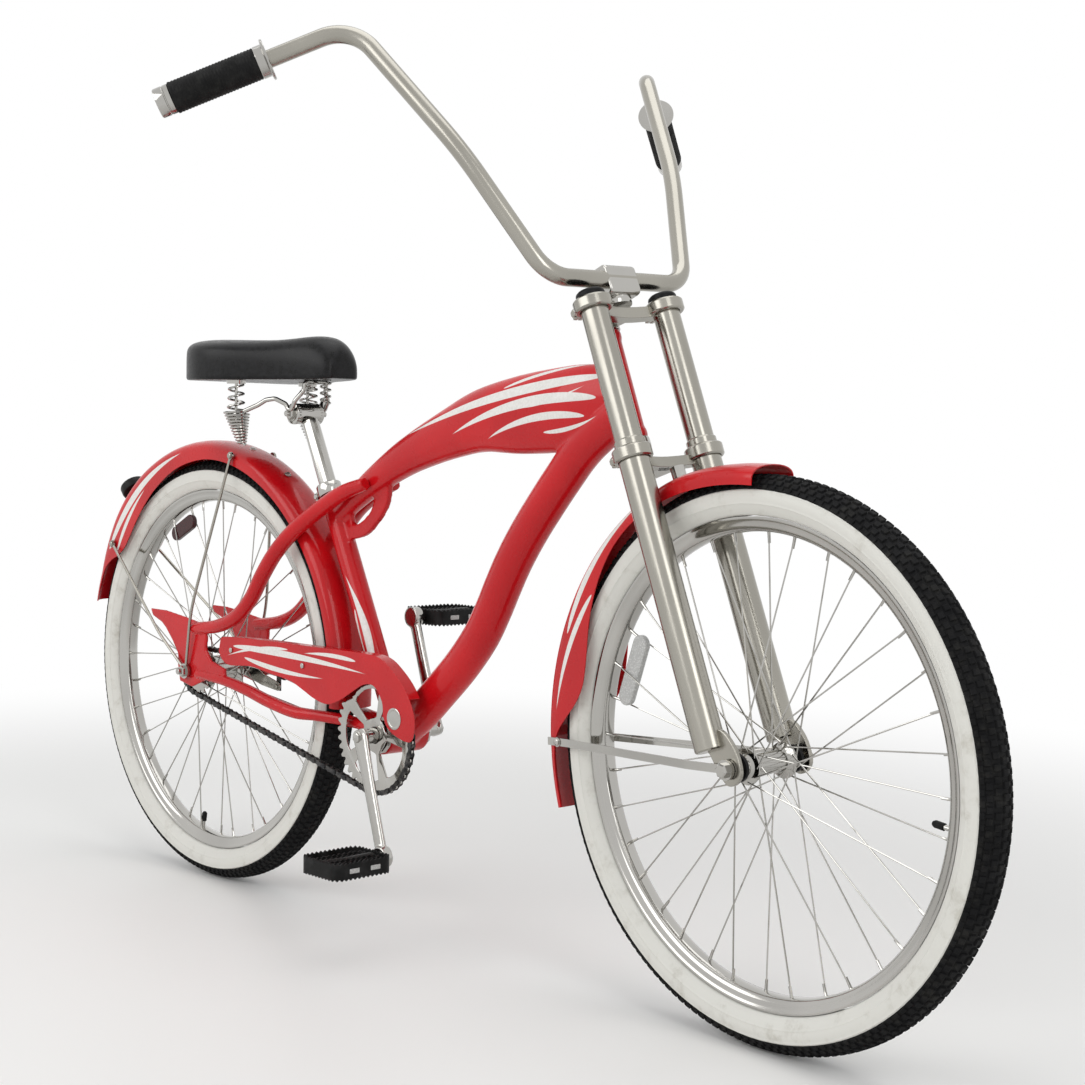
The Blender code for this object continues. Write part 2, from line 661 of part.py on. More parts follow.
def rim_body(segments=36):
    knee = RIM_INNER_R + RIM_DEPTH * RIM_SLOPE
    profile = [(RIM_HALF, RIM_R), (RIM_HALF, knee), (0.0, RIM_INNER_R)]
    profile = profile + [(-y, r) for y, r in profile[-2::-1]]
    return ring_body(profile, segments, math.pi / 2)


def hub_body(flange_y, flange_r, barrel_r, end_y, bore, segments=18):
    """A hub shell with both flanges, and one laced spoke drawn out of each second flange face."""
    row = 0.0015
    right = [(end_y, bore), (flange_y + 2 * row, flange_r), (flange_y + row, flange_r),
             (flange_y, flange_r), (flange_y - 0.003, barrel_r)]
    profile = right + [(-y, r) for y, r in right[::-1]]
    verts, faces = ring_body(profile, segments)
    count = len(profile)
    # The outer and inner faces of each flange rim: index of the first profile point and side
    rims = (((1, 1.0), (2, 1.0)), ((count - 3, -1.0), (count - 4, -1.0)))
    kept = []
    for face in faces:
        turns = sorted({v // count for v in face})
        points = sorted({v % count for v in face})
        step = turns[0] if turns != [0, segments - 1] else segments - 1
        spoke = None
        for flange, rows in enumerate(rims):
            first, side = rows[(step + flange) % 2]
            if points == [first, first + 1]:
                spoke = (side, 1.0 if (step + flange) % 2 else -1.0)
        if spoke is None:
            kept.append(face)
            continue
        start = len(verts)
        verts += spoke_tip(verts, face, 2 * math.pi * (step + 0.5) / segments, *spoke)
        tip = [start + i for i in range(4)]
        for i in range(4):
            k = (i + 1) % 4
            kept.append((face[i], face[k], tip[k], tip[i]))
        kept.append(tuple(tip))
    return verts, kept


def spoke_tip(verts, face, turn, side, lean, thick=0.0010):
    """The four corners of a spoke's outer end, for a spoke drawn out of the face."""
    far = turn + lean * math.radians(40.0)
    aside = 0.0026 if lean > 0 else 0.0066
    tip_r = RIM_INNER_R + aside * RIM_DEPTH * RIM_SLOPE / RIM_HALF - 4 * GAP
    centre = Vector((tip_r * math.cos(far), side * aside, tip_r * math.sin(far)))
    mean = sum((verts[v] for v in face), Vector()) / 4
    wide = (centre - mean).cross(Vector((0, 1, 0))).normalized() * thick
    deep = Vector((0, thick, 0))
    corners = []
    for v in face:
        off = verts[v] - mean
        a = math.copysign(1.0, off.dot(wide))
        b = math.copysign(1.0, off.y)
        corners.append(centre + wide * a + deep * b)
    return corners


def build_wheel(label, parent, hub):
    add(label + "_tyre", tyre_body(), parent, "tyre_rubber", sharp=60.0)
    add(label + "_rim", rim_body(), parent, "chrome", sharp=30.0)
    add(label + "_hub", hub_body(*hub), parent, "chrome")


def gear_outline(teeth, pitch_r):
    """A chain wheel's outline, with a roller seat between each two teeth."""
    out = []
    for t in range(teeth):
        for share, r in ((-0.19, pitch_r + 0.0034), (0.19, pitch_r + 0.0034),
                         (0.50, pitch_r - 0.0040)):
            turn = 2 * math.pi * (t + share) / teeth
            out.append((r * math.cos(turn), r * math.sin(turn)))
    return out


def pitch_radius(teeth):
    return LINK_PITCH / (2 * math.sin(math.pi / teeth))


# Drive
def chain_path():
    """Points and outward directions round both chain wheels, in the ground frame."""
    big, small = pitch_radius(RING_TEETH), pitch_radius(COG_TEETH)
    a = Vector((BB.x, BB.z))
    b = Vector((REAR_AXLE.x, REAR_AXLE.z))
    apart = (b - a).length
    heading = math.atan2(b.y - a.y, b.x - a.x)
    lean = math.acos((big - small) / apart)
    out = []
    start, end = heading + lean, heading + 2 * math.pi - lean
    count = 20
    for s in range(count + 1):
        turn = start + (end - start) * s / count
        out.append((a, big, turn))
    straight = 2
    start, end = heading - lean, heading + lean
    last_big = a + Vector((math.cos(out[-1][2]), math.sin(out[-1][2]))) * big
    first_small = b + Vector((math.cos(start), math.sin(start))) * small
    points = [(c + Vector((math.cos(t), math.sin(t))) * r, Vector((math.cos(t), math.sin(t))))
              for c, r, t in out]
    for s in range(1, straight):
        points.append((last_big.lerp(first_small, s / straight),
                       Vector((math.cos(start), math.sin(start)))))
    count = 10
    for s in range(count + 1):
        t = start + (end - start) * s / count
        direction = Vector((math.cos(t), math.sin(t)))
        points.append((b + direction * small, direction))
    last_small = points[-1][0]
    first_big = points[0][0]
    for s in range(1, straight):
        points.append((last_small.lerp(first_big, s / straight), points[0][1]))
    return points


def build_chain(root):
    section = [(-0.0046, 0.0056), (0.0046, 0.0056), (0.0046, -0.0040), (0.0024, -0.0040),
               (0.0024, 0.0043), (-0.0024, 0.0043), (-0.0024, -0.0040), (-0.0046, -0.0040)]
    rings = []
    for spot, out in chain_path():
        ring = []
        for y, n in section:
            flat = spot + out * n
            ring.append(Vector((flat.x, CHAIN_Y + y, flat.y)))
        rings.append(ring)
    add("chain", skin(rings, closed=True), root, "black_steel")


def build_chainring(crank):
    ring = add("chainring", prism(gear_outline(RING_TEETH, pitch_radius(RING_TEETH)),
                                  CHAIN_Y - 0.0014, CHAIN_Y + 0.0014), crank, "chrome")
    for k in range(6):
        turn = math.radians(60 * k)
        cut("window_%d" % k, spin([(-0.08, 0.0165), (0.0, 0.0165)], 8), ring,
            Matrix.Translation((0.0490 * math.cos(turn), 0, 0.0490 * math.sin(turn))))
    cut("ring_bore", spin([(-0.08, 0.0118), (0.0, 0.0118)], 12), ring)
    return ring


def build_crank(rig):
    crank = rig["crank"]
    arm = add("crank", spin([(-0.074, 0.0105), (-0.040, 0.0113), (0.040, 0.0113), (0.074, 0.0105)],
                            12), crank, "chrome")
    for name, sign in both("crank_arm"):
        tip = Vector((-sign * CRANK_DX, sign * CRANK_EYE_Y, -sign * CRANK_DZ))
        root = Vector((0, sign * (CRANK_EYE_Y - 0.0150), 0))
        path = [root - (tip - root) * 0.06, root, root.lerp(tip, 0.4), tip]
        fuse(name, tube(path, [0.0112, 0.0150, 0.0120, 0.0110], 8, [0.50, 0.42, 0.47, 0.55]), arm)
        eye = spin([(-0.0075, 0.0150), (0.0075, 0.0150)], 14)
        fuse("eye_" + name, eye, arm, Matrix.Translation(tip))
        cut("hole_" + name, spin([(-0.02, 0.0068), (0.02, 0.0068)], 14), arm,
            Matrix.Translation(tip))
    for name, sign in both("bracket_cup"):
        low, high = (BB_HALF - 0.008, BB_HALF + 0.0055)
        cup = [(low, 0.0118), (low, CUP_R), (BB_HALF + GAP, CUP_R), (BB_HALF + GAP, 0.0270),
               (high - 0.0005, 0.0250), (high - 0.0005, 0.0118)]
        add(name, ring_body([(sign * y, r) for y, r in cup], 12), rig["root"], "chrome",
            Matrix.Translation(BB))
    return arm


def build_pedals(rig):
    """Each pedal spindle stays in the crank, and the body turns on it."""
    for name, sign in both("pedal"):
        tip = Vector((-sign * CRANK_DX, sign * CRANK_EYE_Y, -sign * CRANK_DZ))
        spindle = spin([(-0.0074, 0.0065), (0.0080, 0.0065), (0.0085, 0.0085), (0.0110, 0.0085),
                        (0.0115, 0.0055), (0.0980, 0.0045)], 14)
        spindle = ([Vector((v.x, sign * v.y, v.z)) for v in spindle[0]], spindle[1])
        add(name + "_spindle", spindle, rig["crank"], "chrome", Matrix.Translation(tip))
        axis = rig["pedal_axis" + name[-2:]]
        centre = sign * (CRANK_EYE_Y + 0.0615)
        half_x, half_y, half_z = 0.0410, 0.0480, 0.0125
        body = add(name, box((-half_x, centre - half_y, -half_z), (half_x, centre + half_y, half_z)),
                   axis, "black_plastic")
        for tag, x0, x1 in (("front", 0.0150, half_x - 0.008), ("back", -half_x + 0.008, -0.0150)):
            cut(tag + "_" + name, box((x0, centre - half_y + 0.010, -0.02),
                                      (x1, centre + half_y - 0.010, 0.02)), body)
        cut("axle_" + name, spin([(centre - 0.06, 0.0062), (centre + 0.06, 0.0062)], 14), body)


def build_rear_drive(rig):
    cog = add("rear_sprocket", prism(gear_outline(COG_TEETH, pitch_radius(COG_TEETH)),
                                     CHAIN_Y - 0.0014, CHAIN_Y + 0.0014), rig["cog"], "chrome")
    cut("cog_bore", spin([(-0.08, AXLE_R + 0.0028), (0.0, AXLE_R + 0.0028)], 16), cog)
    root = rig["root"]
    place = Matrix.Translation(REAR_AXLE)
    axle = add("rear_axle", spin([(-0.0800, AXLE_R), (0.0800, AXLE_R)], 12), root, "chrome", place)
    for name, sign in both("axle_nut"):
        fuse(name, spin([(sign * 0.0676, 0.0085), (sign * 0.0750, 0.0085)], 6), axle, place)
    arm_plate = [(-0.014, -0.014), (0.012, -0.016), (0.090, -0.0365), (0.155, -0.0400),
                 (0.160, -0.0335), (0.155, -0.0275), (0.090, -0.0205), (0.016, 0.014),
                 (-0.012, 0.014)]
    arm = add("brake_arm", prism(arm_plate, 0.0465, 0.0495), root, "chrome", place)
    cut("arm_hole", spin([(0.03, AXLE_R + GAP), (0.07, AXLE_R + GAP)], 16), arm, place)


CHAIN_GUARD = [
    # share of the way from the bottom bracket to the rear axle, rise: the top edge, the round
    # nose ahead of the chain wheel, then the lower edge back to the rear
    (0.8286, -0.1478), (0.7252, -0.1686), (0.5059, -0.1960), (0.2515, -0.2250),
    (0.0516, -0.2482), (-0.0320, -0.2482), (-0.0963, -0.2220), (-0.1531, -0.1839),
    (-0.1956, -0.1356), (-0.2161, -0.0872), (-0.2085, -0.0336), (-0.1655, -0.0247),
    (-0.0977, -0.0417), (-0.0677, -0.0760), (-0.0542, -0.1207), (-0.0107, -0.1580),
    (0.0394, -0.1527), (0.0910, -0.1209), (0.1526, -0.0792), (0.2137, -0.0530),
    (0.2799, -0.0548), (0.3520, -0.0714), (0.4239, -0.0859), (0.5317, -0.0855),
    (0.6462, -0.0867), (0.7804, -0.0660), (0.8348, -0.1021),
]


def build_chain_guard(root):
    """A pressed plate beside the chain, with a flange over the chain's upper run."""
    line = between(BB, REAR_AXLE, [(t, 0.0, up) for t, up in CHAIN_GUARD])
    outline = [(p.x, p.z) for p in line]
    guard = add("chain_guard", prism(outline, CHAIN_Y - 0.0130, CHAIN_Y - 0.0110), root,
                "red_paint")
    top = outline[1:9]
    lower = [(x, z - 0.0022) for x, z in reversed(top)]
    fuse("guard_flange", prism(top + lower, CHAIN_Y - 0.0120, CHAIN_Y + 0.0070), guard)
    return guard


# Front end
def crown_body(v_reach, low, high):
    """A plate in the steering frame with a boss on the axis and one round each leg."""
    circles = [(0.0, 0.0, 0.0210), (LEG_U, v_reach, 0.0240), (LEG_U, -v_reach, 0.0240)]
    outline = hull_outline(circles)
    rings = [[Vector((u, v, w)) for u, v in outline] for w in (low, high)]
    return skin(rings)


def upright(spot, low, high, radius, sides=16):
    """A round bar along w at the (u, v) spot."""
    rings = [[Vector((u, v, w)) for u, v in circle_points(spot, radius, sides)]
             for w in (low, high)]
    return skin(rings)


def handlebar_points(sign):
    """One side of the bar from its low bend up to the end, as (u, v, w) corners."""
    rise = [(0.0, 0.1126, 0.0), (-0.0240, 0.1762, 0.1720), (-0.0852, 0.2458, 0.3691),
            (-0.1627, 0.3246, 0.3583), (-0.2501, 0.4307, 0.3323)]
    return [(BAR_U + u, sign * v, BAR_W + w) for u, v, w in rise]


def build_fork(rig):
    steering = rig["steering"]
    for name, (low, high) in (("lower_crown", LOWER_CROWN_W), ("upper_crown", UPPER_CROWN_W)):
        crown = add(name, crown_body(LEG_V, low, high), steering, "chrome")
        leg_r = LEG_R if name == "lower_crown" else STANCHION_R
        for side, sign in both("leg"):
            cut("%s_%s" % (name, side), upright((LEG_U, sign * LEG_V), low - 0.01, high + 0.01,
                                                fit(leg_r, 16), 16), crown)
        cut(name + "_steerer", upright((0, 0), low - 0.01, high + 0.01, STEERER_R + GAP, 16), crown)
    add("steerer", upright((0, 0), LOWER_CROWN_W[0], UPPER_CROWN_W[1] - 0.001, STEERER_R),
        steering, "chrome")
    axle = Matrix.Translation((AXLE_U, 0, AXLE_W))
    for name, sign in both("fork_leg"):
        spot = (LEG_U, sign * LEG_V)
        leg = add(name, upright(spot, LEG_BOTTOM_W, 0.1, LEG_R, 18), steering, "chrome")
        fuse("stanchion_" + name, upright(spot, 0.05, STANCHION_TOP_W, STANCHION_R, 18), leg)
        y0, y1 = sorted((sign * (LEG_V - 0.0050), sign * (LEG_V + 0.0015)))
        lug = [(-0.0306, 0.0354), (-0.0246, 0.0504), (0.0034, 0.0454), (0.0174, 0.0204),
               (0.0174, -0.0076), (0.0054, -0.0186), (-0.0086, -0.0166), (-0.0166, 0.0004),
               (-0.0226, 0.0224)]
        fuse("lug_" + name, prism(lug, y0, y1), leg, axle)
        cut("axle_" + name, spin([(y0 - 0.01, AXLE_R + GAP), (y1 + 0.01, AXLE_R + GAP)], 14), leg,
            axle)
        cap_low, cap_top = STANCHION_TOP_W + GAP, BAR_W - BAR_R - 3 * GAP
        cap = [(cap_low, STANCHION_R), (cap_top - 0.0025, STANCHION_R - 0.0005),
               (cap_top, STANCHION_R - 0.0040)]
        add("leg_cap" + name[-2:], spin(cap, 14), steering, "black_plastic",
            along((spot[0], spot[1], 0.0), (0, 0, 1)))
    add("front_axle", spin([(-0.0665, AXLE_R), (0.0665, AXLE_R)], 14), steering, "chrome", axle)


def build_bars(rig):
    steering = rig["steering"]
    low = (BAR_U - 0.0200, -STEM_HALF, UPPER_CROWN_W[1] + GAP)
    high = (BAR_U + 0.0170, STEM_HALF, BAR_W + 0.0165)
    stem = add("stem", box(low, high), steering, "chrome")
    cut("bar_hole", spin([(-0.05, BAR_R + GAP), (0.05, BAR_R + GAP)], 20), stem,
        Matrix.Translation((BAR_U, 0, BAR_W)))
    right = handlebar_points(-1.0)
    left = handlebar_points(1.0)
    line = right[::-1] + left
    radii = [0.0550, 0.1500, 0.0450, 0.0450, 0.1500, 0.0550]
    path = filleted([line[0]] + line[2:-2] + [line[-1]], radii, 3)
    add("handlebar", tube(path, BAR_R, 8), steering, "chrome")
    for name, sign in both("grip"):
        end = Vector(handlebar_points(sign)[-1])
        inward = (Vector(line[2 if sign < 0 else -3]) - end).normalized()
        outward = -inward
        start = end + inward * 0.1410
        bore = fit(BAR_R, 12)
        grip = [(0.0045, bore), (0.0045, 0.0195), (0.1275, 0.0195), (0.1275, bore)]
        add(name, ring_body(grip, 12), steering, "black_rubber", along(start, outward))
        collar = [(0.0, bore), (0.0, 0.0260), (0.0042, 0.0260), (0.0042, bore)]
        add("grip_collar" + name[-2:], ring_body(collar, 12), steering, "chrome",
            along(start, outward))
        cap_profile = [(0.1278, bore), (0.1278, 0.0185), (0.1460, 0.0185), (0.1480, 0.0165),
                       (0.1480, bore)]
        add("grip_cap" + name[-2:], ring_body(cap_profile, 12), steering, "chrome",
            along(start, outward))


def build_front_fender(rig):
    steering = rig["steering"]
    place = wheel_in_steering()
    add("front_fender", fender_body(FRONT_FENDER), steering, "red_paint", place)
    for name, sign in both("front_fender_stay"):
        eye = add(name, ring_body([(-0.0015, AXLE_R + GAP), (-0.0015, 0.0110), (0.0015, 0.0110),
                                   (0.0015, AXLE_R + GAP)], 14), steering, "chrome",
                  place @ Matrix.Translation(Vector((0, sign * 0.0635, 0))))
        side = sign * (FENDER_HALF + 0.0011 + GAP)
        line = [(-0.0085, sign * 0.0635, 0.0), (-0.0650, sign * 0.0635, -0.003),
                (0.0285 - WHEEL_R, side, -0.0133), (-0.0095 - WHEEL_R, side, -0.0150)]
        fuse("bar_" + name, strap(line, (0, 0, 1), 0.010, 0.0022), eye, place)
    boss = spin([(WHEEL_R + 0.0178, 0.0090), (WHEEL_R + 0.0351, 0.0090)], 12)
    add("fender_bracket", boss, steering, "chrome",
        place @ along((0, 0, 0), polar(1.0, 113.5)))


def main():
    clear_scene()
    rig = make_rig()
    root = rig["root"]
    build_main_frame(root)
    build_headset(root)
    build_rear_triangle(root)
    build_seat(root)
    build_saddle(root)
    build_rear_fender(root)
    build_chain(root)
    build_chainring(rig["crank"])
    build_crank(rig)
    build_pedals(rig)
    build_rear_drive(rig)
    build_chain_guard(root)
    build_fork(rig)
    build_bars(rig)
    build_front_fender(rig)
    # Each hub: flange's place and radius, barrel radius, half length, bore
    bore = AXLE_R + 0.0007
    build_wheel("front", rig["front"], (0.0300, 0.0215, 0.0130, 0.0480, bore))
    build_wheel("rear", rig["rear"], (0.0250, 0.0300, 0.0210, 0.0370, bore))


main()
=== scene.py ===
"""Chopper bicycle: fine pieces and finishes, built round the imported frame.

Lengths are metres and angles degrees unless a name says otherwise. Pieces are written in four
local frames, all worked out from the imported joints: GROUND (X forward, Y left, Z up, under the
rear axle), STEER (u forward, v left, w up the steering axis), FRONT and REAR (wheel centres).
"""

import json
import math

import bmesh
import bpy
from mathutils import Matrix, Vector


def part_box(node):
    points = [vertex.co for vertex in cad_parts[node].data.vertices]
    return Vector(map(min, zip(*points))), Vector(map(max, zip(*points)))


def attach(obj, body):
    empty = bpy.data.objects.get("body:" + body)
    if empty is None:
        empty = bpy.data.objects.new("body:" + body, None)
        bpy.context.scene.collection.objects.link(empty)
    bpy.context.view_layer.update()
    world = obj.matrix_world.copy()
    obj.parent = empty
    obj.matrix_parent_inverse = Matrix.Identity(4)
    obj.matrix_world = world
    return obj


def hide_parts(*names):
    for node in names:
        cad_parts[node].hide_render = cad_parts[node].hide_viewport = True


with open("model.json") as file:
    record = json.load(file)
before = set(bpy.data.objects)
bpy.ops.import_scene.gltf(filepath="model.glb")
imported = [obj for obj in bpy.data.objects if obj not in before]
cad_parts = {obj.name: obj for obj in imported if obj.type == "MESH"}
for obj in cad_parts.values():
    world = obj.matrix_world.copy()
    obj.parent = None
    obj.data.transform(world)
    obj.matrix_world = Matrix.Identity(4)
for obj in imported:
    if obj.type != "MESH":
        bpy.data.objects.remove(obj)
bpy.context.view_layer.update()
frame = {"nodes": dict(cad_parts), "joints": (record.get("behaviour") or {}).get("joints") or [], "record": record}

# Driving sizes
RIM_R = 0.2855
WHEEL_R = 0.3335
RIM_HALF = 0.0155
RIM_INNER_R = 0.267
SPOKES = 36
TUBE_SIDES = 24
BAR_R = 0.0111
LEG_U, LEG_V = 0.055, 0.06
LEG_R, STANCHION_R = 0.019, 0.017
AXLE_U, AXLE_W = 0.0746, -0.4254
HEAD_LENGTH = 0.143
LINK_PITCH = 0.0127
RING_TEETH, COG_TEETH = 40, 18
CHAIN_Y = -0.043
FENDER_HALF = 0.0355
SEAT_TILT = math.radians(26.3)
SEAT_TUBE_LENGTH = 0.37
SIDES = (("right", -1.0), ("left", 1.0))
UP = (0, 0, 1)

# Local frames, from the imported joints
joints = {joint["child"]: joint for joint in frame["joints"]}


def joint_point(body):
    return Vector(joints[body]["pos_m"])


def axes_matrix(spot, first, second, third):
    turn = Matrix((first, second, third)).transposed().to_4x4()
    return Matrix.Translation(spot) @ turn


steer_w = Vector(joints["fork"]["axis"]).normalized()
steer_v = Vector(joints["front_wheel"]["axis"]).normalized()
steer_u = steer_v.cross(steer_w).normalized()
STEER = axes_matrix(joint_point("fork"), steer_u, steer_v, steer_w)
HEAD_TILT = math.atan2(-steer_w.x, steer_w.z)
FRONT = Matrix.Translation(joint_point("front_wheel")) @ (
    STEER.to_3x3() @ Matrix.Rotation(HEAD_TILT, 3, "Y")).to_4x4()
REAR = Matrix.Translation(joint_point("rear_wheel"))
GROUND = REAR @ Matrix.Translation((0, 0, -WHEEL_R))
HEAD = Matrix.Translation(joint_point("fork")) @ Matrix.Rotation(-HEAD_TILT, 4, "Y")
CRANK = Matrix.Translation(joint_point("crank"))
BB = GROUND.inverted() @ joint_point("crank")
SEAT_AXIS = Vector((-math.sin(SEAT_TILT), 0.0, math.cos(SEAT_TILT)))


# Places and objects
def ground_point(x, z):
    return GROUND @ Vector((x, 0.0, z))


def seat_point(distance):
    return BB + SEAT_AXIS * distance


def polar(radius, angle, y=0.0):
    turn = math.radians(angle)
    return Vector((radius * math.cos(turn), y, radius * math.sin(turn)))


def linked(name, data):
    """Adds an object with this data to the scene."""
    item = bpy.data.objects.new(name, data)
    bpy.context.scene.collection.objects.link(item)
    return item


# Camera
def make_camera():
    """The photograph's own view, solved from the wheels, hubs and bars."""
    photo_width = 1085
    focal_pixels = 1838.2
    spot = Vector((2.2931, -1.6366, -0.1568))
    right = Vector((0.6861435, 0.7273141, 0.014875))
    down = Vector((0.0472441, -0.0241466, -0.9985915))
    data = bpy.data.cameras.new("camera")
    data.sensor_fit = "HORIZONTAL"
    data.sensor_width = 36.0
    data.lens = data.sensor_width * focal_pixels / photo_width
    data.clip_end = 40.0
    item = linked("camera", data)
    item.matrix_world = axes_matrix(spot, right, -down, -right.cross(down))
    bpy.context.scene.camera = item


# Node helpers
class Nodes:
    """Short calls that add shader nodes to a tree."""

    def __init__(self, tree):
        self.tree = tree

    def plug(self, socket, value):
        if isinstance(value, bpy.types.NodeSocket):
            self.tree.links.new(value, socket)
        else:
            socket.default_value = value

    def node(self, kind, inputs=(), **settings):
        """A node. inputs pairs a socket's name or number with a value or another socket."""
        made = self.tree.nodes.new("ShaderNode" + kind)
        for key, value in settings.items():
            setattr(made, key, value)
        for key, value in dict(inputs).items():
            self.plug(made.inputs[key], value)
        return made

    def sum(self, kind, *values):
        return self.node("Math", enumerate(values), operation=kind).outputs[0]

    def seen(self):
        """1 on rays from the camera, a mirror or a glass, and 0 on the others."""
        path = self.node("LightPath").outputs
        clear = self.sum("MAXIMUM", path["Is Glossy Ray"], path["Is Transmission Ray"])
        return self.sum("MAXIMUM", path["Is Camera Ray"], clear)


class Finish(Nodes):
    """A material. Coordinates are the piece's own, in metres."""

    def __init__(self, name, colour, rough, metal=0.0):
        self.material = bpy.data.materials.new(name)
        self.material.use_nodes = True
        super().__init__(self.material.node_tree)
        self.shader = self.tree.nodes["Principled BSDF"]
        self.set("Base Color", (*colour, 1.0))
        self.set("Roughness", rough)
        self.set("Metallic", metal)
        self.set("Specular IOR Level", 0.5 if metal else 0.13)
        self.coords = self.node("TexCoord").outputs["Object"]

    def set(self, socket, value):
        self.plug(self.shader.inputs[socket], value)

    def coat(self):
        self.set("Coat Weight", 0.4)
        self.set("Coat Roughness", 0.03)

    def noise(self, scale, detail=3.0, rough=0.5, stretch=None):
        source = self.coords
        if stretch:
            source = self.node("Mapping", {"Vector": source, "Scale": stretch}).outputs[0]
        return self.node("TexNoise", {"Vector": source, "Scale": scale, "Detail": detail,
                                      "Roughness": rough}).outputs["Fac"]

    def cells(self, scale):
        made = self.node("TexVoronoi", {"Vector": self.coords, "Scale": scale})
        return made.outputs["Distance"]

    def ramp(self, value, low, high, out_low=0.0, out_high=1.0):
        return self.node("MapRange", enumerate((value, low, high, out_low, out_high)),
                         interpolation_type="SMOOTHSTEP").outputs[0]

    def mix(self, factor, *colours):
        first, second = [c if isinstance(c, bpy.types.NodeSocket) else (*c, 1.0) for c in colours]
        made = self.node("Mix", {"Factor": factor, "A": first, "B": second}, data_type="RGBA")
        return made.outputs["Result"]

    def bump(self, height, strength, distance):
        made = self.node("Bump", {"Strength": strength, "Distance": distance, "Height": height})
        self.set("Normal", made.outputs[0])

    def dot(self, start, direction):
        """How far a point lies from the start along a direction, both in the x-z plane."""
        start, direction = [(v.x, 0.0, v.z) for v in (start, direction)]
        offset = self.node("VectorMath", {0: self.coords, 1: start}, operation="SUBTRACT")
        made = self.node("VectorMath", {0: offset.outputs[0], 1: direction},
                         operation="DOT_PRODUCT")
        return made.outputs["Value"]

    def blade(self, tip, root, bow, width):
        """A mask for a curved blade, sharp at its tip and full near its root."""
        ahead = Vector((root.x - tip.x, 0.0, root.z - tip.z))
        reach = ahead.length
        ahead.normalize()
        t = self.node("MapRange", {"Value": self.dot(tip, ahead), "From Max": reach},
                      clamp=True).outputs[0]
        rest = self.sum("SUBTRACT", 1.0, t)
        arch = self.sum("MULTIPLY", self.sum("MULTIPLY", t, rest), 4.0 * bow)
        aside = self.dot(tip, Vector((-ahead.z, 0.0, ahead.x)))
        off = self.sum("ABSOLUTE", self.sum("SUBTRACT", aside, arch))
        full = self.sum("MULTIPLY", self.sum("POWER", t, 0.9), self.sum("POWER", rest, 0.45))
        edge = self.sum("SUBTRACT", self.sum("MULTIPLY", full, 2.0 * width), off)
        return self.ramp(edge, 0.0, 0.0007)


# Finishes
def worn(name, base, rough, drift, colours, dull=None, grain=None, metal=0.0):
    """A finish that drifts between two colours and two roughnesses, with a fine bump.

    drift is (noise, from, to), dull is (noise, low, high) and grain is (noise, strength, depth).
    A noise is (scale, detail, roughness).
    """
    finish = Finish(name, base, rough, metal)
    noise, *limits = drift
    finish.colour = finish.mix(finish.ramp(finish.noise(*noise), *limits), *colours)
    finish.set("Base Color", finish.colour)
    if dull:
        noise, *limits = dull
        finish.set("Roughness", finish.ramp(finish.noise(*noise), 0.3, 0.7, *limits))
    if grain:
        noise, strength, depth = grain
        finish.bump(finish.noise(*noise), strength, depth)
    return finish


def red_paint(name="red_enamel", flame=()):
    """Glossy red, with a pale flame of blades where some are given."""
    finish = worn(name, (0.52, 0.006, 0.01), 0.3, ((9.0, 2.0), 0.35, 0.65),
                  ((0.49, 0.004, 0.008), (0.57, 0.006, 0.01)), ((60.0, 4.0), 0.24, 0.36),
                  ((260.0, 2.0), 0.03, 0.0004))
    mask = None
    for blade in flame:
        shape = finish.blade(*blade)
        mask = shape if mask is None else finish.sum("MAXIMUM", mask, shape)
    if flame:
        fleck = finish.ramp(finish.noise(300.0), 0.3, 0.7)
        pale = finish.mix(fleck, (0.74, 0.72, 0.68), (0.82, 0.8, 0.77))
        finish.set("Base Color", finish.mix(mask, finish.colour, pale))
    finish.coat()
    return finish.material


def chrome(name, colour, rough, grain=None):
    """Plated steel, its base colour darkened in clouds of noise as painted reflection streaks. grain stretches
    these painted streaks and the fine roughness marks along the piece.
    """
    finish = Finish(name, colour, rough, 1.0)
    # painted reflection: the base colour drifts to 0.88 of itself in clouds of noise, standing in for dark streaks
    # reflected in the metal
    painted_reflection_streaks = finish.ramp(finish.noise(9.0, 2.0, 0.45, grain), 0.35, 0.7)
    finish.set("Base Color", finish.mix(painted_reflection_streaks, colour, [c * 0.88 for c in colour]))
    finish.set("Roughness", finish.ramp(finish.noise(40.0, 3.0, 0.5, grain), 0.3, 0.75,
                                        rough * 0.88, rough * 1.25))
    return finish.material


def vinyl():
    wrinkle = (140.0, 5.0, 0.6)
    finish = worn("black_vinyl_grain", (0.005, 0.005, 0.005), 0.32, (wrinkle, 0.3, 0.7),
                  ((0.004, 0.004, 0.004), (0.01, 0.01, 0.011)), (wrinkle, 0.26, 0.4))
    finish.set("Specular IOR Level", 0.2)
    relief = finish.sum("MULTIPLY", finish.noise(*wrinkle), 0.6)
    finish.bump(finish.sum("ADD", finish.cells(900.0), relief), 0.14, 0.0004)
    return finish.material


def lens(name, colour, depth):
    """Reflector plastic with the small prisms that show through its face."""
    finish = Finish(name, colour, 0.12)
    prisms = finish.cells(420.0)
    finish.set("Base Color", finish.mix(finish.ramp(prisms, 0.0, 0.6), colour,
                                        [c * depth for c in colour]))
    finish.coat()
    finish.bump(prisms, 0.3, 0.0006)
    return finish.material


def blades(place, *rows):
    """A flame from rows of (tip, root, bow, half width), tip and root as place takes them."""
    return [(place(*tip), place(*root), bow, width) for tip, root, bow, width in rows]


